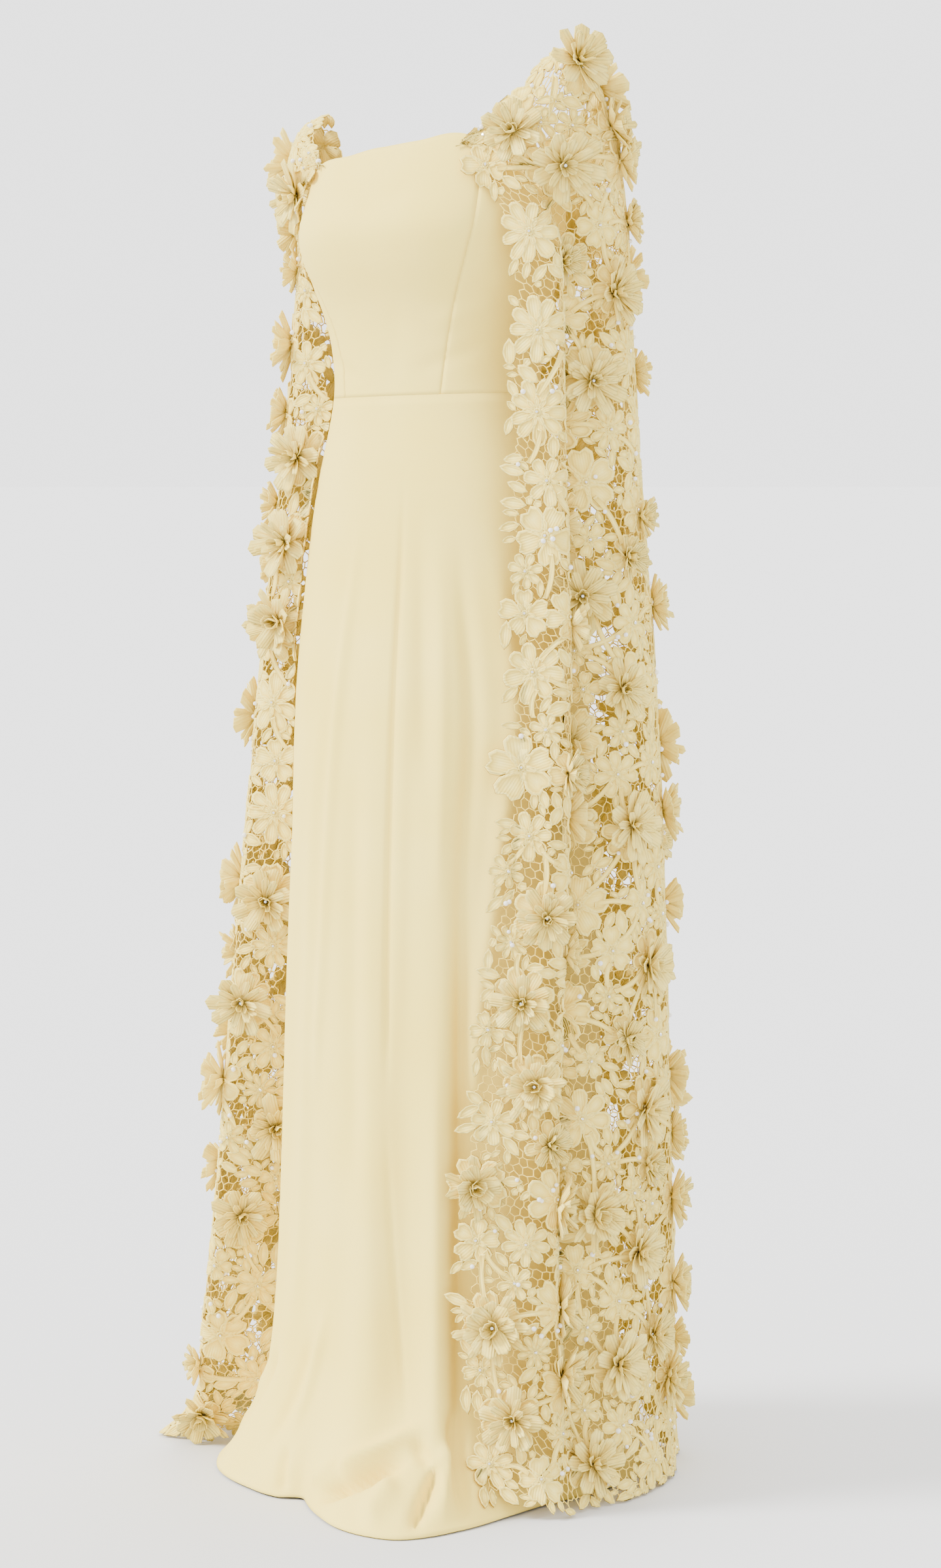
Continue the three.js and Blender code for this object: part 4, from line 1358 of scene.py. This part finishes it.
def through(tree, source, name, **settings):
    """The mesh that a node tree makes of a source mesh, as an ordinary mesh of its own."""
    carrier = put(name + "_plan", source)
    work = carrier.modifiers.new("work", "NODES")
    work.node_group = tree
    for item in tree.interface.items_tree:
        if item.item_type == "SOCKET" and item.in_out == "INPUT" and item.name in settings:
            work[item.identifier] = settings[item.name]
    evaluated = carrier.evaluated_get(bpy.context.evaluated_depsgraph_get())
    mesh = bpy.data.meshes.new_from_object(evaluated)
    mesh.name = name
    carrier.modifiers.remove(work)
    bpy.data.objects.remove(carrier)
    return mesh


def net_plans(ground, borders, count, seed):
    """For each cut panel, the net's knots and the threads between them, where cells are open."""
    field, rng = ground.field, np.random.default_rng(seed)
    low, high = field["edges"].min(), field["edges"].max()
    across, down, side = NET_CELL, NET_CELL * math.sqrt(3) / 2, NET_CELL / math.sqrt(3)
    rows, cols = int(field["downs"][-1] / down) + 2, int((high - low) / across) + 2
    r, c = np.meshgrid(np.arange(rows), np.arange(cols), indexing="ij")
    centre_s = low + (c + 0.5 * (r % 2)) * across
    centre_t = field["downs"][0] + r * down
    # each cell owns its top knot and its upper right knot
    knots = np.stack([
        np.stack([centre_s, centre_t - side], axis=-1),
        np.stack([centre_s + across / 2, centre_t - side / 2], axis=-1),
    ], axis=2)
    flat = (knots + rng.normal(0, NET_STRAY, knots.shape)).reshape(-1, 2)
    number = np.arange(rows * cols * 2).reshape(rows, cols, 2)
    inner = (r > 0) & (r < rows - 1) & (c > 0) & (c < cols - 1)
    r, c = r[inner], c[inner]
    top, upper_right, upper_left = number[r, c, 0], number[r, c, 1], number[r, c - 1, 1]
    lower_right = number[r + 1, c + r % 2, 0]
    pairs = ((top, upper_right), (top, upper_left), (upper_right, lower_right))
    links = np.concatenate([np.stack(pair, axis=1) for pair in pairs])
    a, b = flat[links[:, 0]], flat[links[:, 1]]
    bare = np.zeros(len(links), dtype=bool)
    for share in (0.15, 0.38, 0.62, 0.85):
        p = a + (b - a) * share
        bare |= ~ground.covers(p[:, 0], p[:, 1])
    for end in (a, b):
        bare &= inside(field, end[:, 0], end[:, 1], 1.0)
        bare &= (end[:, 1] > field["downs"][0]) & (end[:, 1] < field["downs"][-1] - 2)
    links = links[bare]
    # threads that would end in the air are left out
    held = ground.covers(flat[:, 0], flat[:, 1])
    for _ in range(3):
        uses = np.bincount(links.ravel(), minlength=len(flat))
        loose = (uses == 1) & ~held
        links = links[~(loose[links[:, 0]] | loose[links[:, 1]])]
    middle = (flat[links[:, 0]] + flat[links[:, 1]]) / 2
    panel = panel_of(field, borders, middle[:, 0], middle[:, 1])
    base = sampled(field, field["points"], flat[:, 0], flat[:, 1])
    base = base - NET_SUNK * sampled(field, field["normals"], flat[:, 0], flat[:, 1])
    places = in_frame(off_gown(base))
    plans = []
    for index in range(count):
        chosen = links[panel == index]
        used, ends = np.unique(chosen, return_inverse=True)
        mesh = bpy.data.meshes.new("net_plan")
        mesh.vertices.add(len(used))
        mesh.vertices.foreach_set("co", places[used].ravel())
        mesh.edges.add(len(chosen))
        mesh.edges.foreach_set("vertices", ends.astype(np.int32).ravel())
        mesh.update()
        plans.append(mesh)
    return plans


def add_to_lace(kind, name, mesh, smoothed=True):
    """A piece sewn to its lace, kept off the floor, and drawn in where it would reach too far out."""
    mesh.polygons.foreach_set("use_smooth", np.full(len(mesh.polygons), smoothed))
    places = np.empty(len(mesh.vertices) * 3, dtype=np.float32)
    mesh.vertices.foreach_get("co", places)
    places[2::3] = np.maximum(places[2::3], LOWEST)
    past = np.maximum(places[0::3] - LEFT_LIMIT, 0)
    places[0::3] -= past * 0.5
    mesh.vertices.foreach_set("co", places)
    piece = put(kind + name, mesh)
    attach(piece, "root")
    carried[name].append(piece)


thread = lace_material("net_thread", (0.92, 0.72, 0.18), (0.90, 0.69, 0.15), (0.88, 0.66, 0.13))
GROUNDS = (
    # ground, its inner borders, its pieces, seed, share of its large flowers that stand
    (cape_ground, BORDERS, ["left_front", "left_side", "back", "right"], 31, 0.78),
    (yoke_grounds[1], [], ["yoke_left"], 32, 0.7),
    (yoke_grounds[-1], [], ["yoke_right"], 33, 0.3),
)
bars = net_tree()
for ground, borders, names, seed, _ in GROUNDS:
    for name, plan in zip(names, net_plans(ground, borders, len(names), seed)):
        sizes = {"Bar radius": 0.0008, "Bar sides": 3, "Finish": thread}
        add_to_lace("net_", name, through(bars, plan, "net_" + name, **sizes))

# The standing flowers: cut from stiffened cloth, three rings of narrow or broad round-tipped petals
# sewn down at the middle under a crystal, so that their tips stand well off the lace.
PETAL_LENGTH = 0.041
PETAL_THICKNESS = 0.0009


def cut_petal(name, widths, cup, curl):
    """One petal along +Y, in metres: a cupped strip that curls up towards its round tip."""
    top = []
    for y, half in zip((0, 0.45, 0.86), widths):
        lift = curl * y * y
        top += [(-half, y, lift + cup * half), (0, y, lift), (half, y, lift + cup * half)]
    top.append((0, 1.0, curl))
    top = np.array(top) * PETAL_LENGTH
    under = top - np.array([0, 0, PETAL_THICKNESS])
    faces = []
    n = len(top)
    for k in range(2):
        for j in (0, 1):
            a = 3 * k + j
            faces.append((a, a + 1, a + 4, a + 3))
            faces.append((n + a, n + a + 3, n + a + 4, n + a + 1))
    for j in (0, 1):
        faces.append((6 + j, 7 + j, 9))
        faces.append((n + 6 + j, n + 9, n + 7 + j))
    rim = [0, 1, 2, 5, 8, 9, 6, 3]
    for a, b in zip(rim, rim[1:] + rim[:1]):
        faces.append((b, a, n + a, n + b))
    mesh = bpy.data.meshes.new(name)
    points = np.concatenate([top, under])
    mesh.from_pydata([tuple(p) for p in points], [], faces)
    corners = np.empty(len(mesh.loops), dtype=np.int32)
    mesh.loops.foreach_get("vertex_index", corners)
    cloth = mesh.uv_layers.new(name="cloth")
    cloth.data.foreach_set("uv", points[corners, :2].astype(np.float32).ravel())
    return put(name, mesh)


def strewing_tree():
    """Puts one of two patterns at each point, turned and sized as the point says."""
    patterns = (("First pattern", "Object"), ("Second pattern", "Object"))
    tree, given, real = blank_tree("strewn_patterns", *patterns, ("Size", "Float"))
    both = add_node(tree, "GeometryNodeJoinGeometry")
    for label, _ in reversed(patterns):
        pattern = add_node(tree, "GeometryNodeObjectInfo", **{"As Instance": True})
        join_nodes(tree, (given, label, pattern, "Object"), (pattern, "Geometry", both, "Geometry"))
    turn, grow, which = (
        add_node(tree, "GeometryNodeInputNamedAttribute", data_type=kind, Name=label)
        for label, kind in (("turn", "FLOAT_VECTOR"), ("grow", "FLOAT_VECTOR"), ("which", "INT"))
    )
    euler = add_node(tree, "FunctionNodeEulerToRotation")
    sized = add_node(tree, "ShaderNodeVectorMath", operation="SCALE")
    points = add_node(tree, "GeometryNodeInstanceOnPoints", **{"Pick Instance": True})
    join_nodes(
        tree,
        (turn, "Attribute", euler, "Euler"),
        (grow, "Attribute", sized, "Vector"),
        (given, "Size", sized, "Scale"),
        (given, "Geometry", points, "Points"),
        (both, "Geometry", points, "Instance"),
        (which, "Attribute", points, "Instance Index"),
        (euler, "Rotation", points, "Rotation"),
        (sized, "Vector", points, "Scale"),
        (points, "Instances", real, "Geometry"),
    )
    return tree


def strewn_plan(places, axes_y, axes_z, grow, which):
    """A mesh of points (mm above the floor), each with its turn, size and pattern."""
    y = unit(axes_y)
    z = unit(axes_z - (axes_z * y).sum(-1, keepdims=True) * y)
    x = np.cross(y, z)
    turn = np.stack([
        np.arctan2(y[:, 2], z[:, 2]),
        np.arcsin(np.clip(-x[:, 2], -1, 1)),
        np.arctan2(x[:, 1], x[:, 0]),
    ], axis=-1)
    mesh = bpy.data.meshes.new("strewn_plan")
    mesh.vertices.add(len(places))
    mesh.vertices.foreach_set("co", in_frame(places).ravel())
    for label, values in (("turn", turn), ("grow", grow)):
        attribute = mesh.attributes.new(label, "FLOAT_VECTOR", "POINT")
        attribute.data.foreach_set("vector", values.astype(np.float32).ravel())
    mesh.attributes.new("which", "INT", "POINT").data.foreach_set("value", which.astype(np.int32))
    mesh.update()
    return mesh


narrow_petal = cut_petal("narrow_petal", (0.06, 0.125, 0.13), 0.6, 0.18)
broad_petal = cut_petal("broad_petal", (0.08, 0.22, 0.225), 0.4, 0.16)
strewing = strewing_tree()
PETAL_RINGS = (
    # petals, length share, tilt off the lace (degrees), how far the foot stands off it (mm), pattern
    (8, 1.0, 7, 1.4, 1),
    (10, 0.80, 22, 2.4, 0),
    (5, 0.48, 48, 3.2, 0),
)


# none stands on this strip of the left front edge, and some of the middle-sized flowers do, smaller
FRONT_EDGE, FRONT_EDGE_LENGTH = 42.0, 800.0
SMALL_SHARE, SMALL_SIZE = 0.28, 0.7
EYE_STAND, EYE_SIZE = 5.2, 5.2


def standing_flowers(ground, borders, count, seed, share):
    """For each cut panel, where every petal of its standing flowers goes, and the flowers' eyes."""
    field, rng = ground.field, np.random.default_rng(seed)
    at_s, at_t, radius = ground.flowers.T
    largest = radius > radius.max() - 0.1
    chance = np.where(largest, share, np.where(radius > 26, SMALL_SHARE, 0.0))
    in_front = at_s - np.interp(at_t, field["downs"], field["edges"][0])
    chance = np.where((in_front < FRONT_EDGE) & (at_t < FRONT_EDGE_LENGTH), 0, chance)
    stands = rng.random(len(radius)) < chance
    n = stands.sum()
    s = at_s[stands] + rng.normal(0, 5, n)
    t = np.clip(at_t[stands] + rng.normal(0, 5, n), field["downs"][0] + 14, field["downs"][-1] - 30)
    panel = panel_of(field, borders, s, t)
    centre = off_gown(sampled(field, field["points"], s, t))
    normal = unit(sampled(field, field["normals"], s, t))
    down = sampled(field, field["points"], s, t + 6) - sampled(field, field["points"], s, t - 6)
    down = unit(down - (down * normal).sum(-1, keepdims=True) * normal)
    across = np.cross(normal, down)
    size = rng.uniform(0.84, 1.08, n) * np.where(largest[stands], 1.0, SMALL_SIZE)
    kind = (rng.random(n) < 0.3).astype(int)
    rows = []
    for number, length, tilt, stand, pattern in PETAL_RINGS:
        start = rng.uniform(0, 6.28, n)
        for k in range(number):
            turn = start + 2 * math.pi * k / number + rng.normal(0, 0.10, n)
            lift = np.radians(tilt + rng.normal(0, 8, n))
            ray = np.cos(turn)[:, None] * across + np.sin(turn)[:, None] * down
            y = np.cos(lift)[:, None] * ray + np.sin(lift)[:, None] * normal
            z = -np.sin(lift)[:, None] * ray + np.cos(lift)[:, None] * normal
            z = z + rng.normal(0, 0.16, n)[:, None] * np.cross(y, z)
            long = size * length * rng.uniform(0.88, 1.06, n)
            grow = np.stack([size * 0.95 * (0.6 + 0.4 * length), long, np.ones(n)], axis=-1)
            rows.append((centre + normal * stand + ray * 1.2, y, z, grow, np.abs(kind - pattern), panel))
    *petals, panels = (np.concatenate(column) for column in zip(*rows))
    plans = [strewn_plan(*(column[panels == k] for column in petals)) for k in range(count)]
    eyes = (centre + normal * EYE_STAND, normal, size * EYE_SIZE)
    return plans, [[column[panel == k] for column in eyes] for k in range(count)]


def petal_material(name, deep, pale):
    """Stiffened cloth: matt and close, clouded a little, with faint lengthwise veins."""
    material, tree, shader = blank_material(name, 0.8, 0.08, (1.0, 0.88, 0.6))
    place = clouded(tree, shader, 60.0, 3.0, ((0.3, deep), (0.65, pale)))[0]
    weave = add_node(tree, "ShaderNodeTexNoise", Scale=1400.0, Detail=2.0)
    vein = add_node(tree, "ShaderNodeTexWave", Scale=95.0, Distortion=1.2)
    roughened(tree, shader, place, vein, weave, 0.25, 0.6, 0.0012)
    return material


petal_cloth = petal_material("stiffened_petals", (0.87, 0.655, 0.13), (0.95, 0.775, 0.22))
flower_eyes = {}
for ground, borders, names, seed, share in GROUNDS:
    plans, eyes = standing_flowers(ground, borders, len(names), seed + 20, share)
    for name, plan, eye in zip(names, plans, eyes):
        choice = {"First pattern": narrow_petal, "Second pattern": broad_petal, "Size": 1.0}
        mesh = through(strewing, plan, "petals_" + name, **choice, Finish=petal_cloth)
        add_to_lace("petals_", name, mesh)
        flower_eyes[name] = eye
bpy.data.objects.remove(narrow_petal)
bpy.data.objects.remove(broad_petal)

# Pearls and crystals: round pearls sewn on one by one, and a small faceted crystal in a cup at the
# middle of every flower. Both are fixed through the lace with thread.
BEAD_SIDES = 8
PEARL_RINGS = 5
PEARL_AREA = 2400.0
PEARL_STAND, PEARL_SIZES = 2.6, (4.6, 6.2)
CRYSTAL_STAND, CRYSTAL_SIZE = 3.2, 3.8


def bead(name, foot, profile, top):
    """A turned bead 1 m across, from its foot up a profile of radii and heights to its top."""
    sides = BEAD_SIDES
    points = [(0, 0, foot)]
    for radius, z in profile:
        for k in range(sides):
            turn = 2 * math.pi * k / sides
            points.append((radius * math.cos(turn), radius * math.sin(turn), z))
    points.append((0, 0, top))
    faces, last = [], len(points) - 1
    for k in range(sides):
        n = (k + 1) % sides
        faces.append((0, 1 + n, 1 + k))
        for ring in range(len(profile) - 1):
            a = 1 + ring * sides
            faces.append((a + k, a + n, a + sides + n, a + sides + k))
        a = 1 + (len(profile) - 1) * sides
        faces.append((a + k, a + n, last))
    mesh = bpy.data.meshes.new(name)
    mesh.from_pydata(points, [], faces)
    return put(name, mesh)


def bead_material(name, colour, roughness, metallic, coat):
    """A polished bead whose colour varies a little from one to the next."""
    material, tree, shader = blank_material(name, roughness, 0.0, (1, 1, 1))
    shader.inputs["Metallic"].default_value = metallic
    shader.inputs["Coat Weight"].default_value = coat
    clouded(tree, shader, 160.0, 1.0, ((0.0, [0.86 * c for c in colour]), (1.0, colour)))
    return material


arc = [math.pi * k / PEARL_RINGS for k in range(1, PEARL_RINGS)]
pearl = bead("pearl_pattern", -0.5, [(0.5 * math.sin(a), -0.5 * math.cos(a)) for a in arc], 0.5)
stone = bead("stone_pattern", -0.35, [(0.5, -0.12), (0.5, 0.08), (0.30, 0.36)], 0.36)
pearl_finish = bead_material("pearl", (0.93, 0.90, 0.84), 0.22, 0.0, 0.6)
crystal_finish = bead_material("crystal", (0.80, 0.80, 0.78), 0.12, 0.85, 0.0)


def strewn_beads(ground, borders, seed):
    """Places for single pearls over the ground, and for a crystal in each flat flower's eye."""
    field, rng = ground.field, np.random.default_rng(seed)
    low, high = field["edges"].min(), field["edges"].max()
    number = int((high - low) * field["downs"][-1] / PEARL_AREA)
    s = rng.uniform(low, high, number)
    t = rng.uniform(field["downs"][0] + 6, field["downs"][-1] - 10, number)
    fits = inside(field, s, t, 4) & ground.covers(s, t)
    s, t = s[fits], t[fits]
    eye_s, eye_t, _ = ground.flowers.T
    sets = []
    for at_s, at_t, stand, size in (
        (s, t, PEARL_STAND, rng.uniform(*PEARL_SIZES, len(s))),
        (eye_s, eye_t, CRYSTAL_STAND, np.full(len(eye_s), CRYSTAL_SIZE)),
    ):
        normal = sampled(field, field["normals"], at_s, at_t)
        spot = sampled(field, field["points"], at_s, at_t) + normal * stand
        sets.append((spot, normal, size, panel_of(field, borders, at_s, at_t)))
    return sets


for ground, borders, names, seed, _ in GROUNDS:
    pearls, stones = strewn_beads(ground, borders, seed + 40)
    for index, name in enumerate(names):
        for kind, pattern, finish, (*details, panel) in (
            ("pearls_", pearl, pearl_finish, pearls),
            ("crystals_", stone, crystal_finish, stones),
        ):
            places = [column[panel == index] for column in details]
            if kind == "crystals_":
                places = [np.concatenate(both) for both in zip(places, flower_eyes[name])]
            spot, normal, size = places
            side = np.cross(normal, np.array([0.31, 0.17, 0.93]))
            grow = np.repeat(size[:, None] / 1000, 3, axis=1)
            plan = strewn_plan(spot, side, normal, grow, np.zeros(len(size)))
            choice = {"First pattern": pattern, "Second pattern": pattern, "Size": 1.0}
            mesh = through(strewing, plan, kind + name, **choice, Finish=finish)
            add_to_lace(kind, name, mesh, kind == "pearls_")
bpy.data.objects.remove(pearl)
bpy.data.objects.remove(stone)
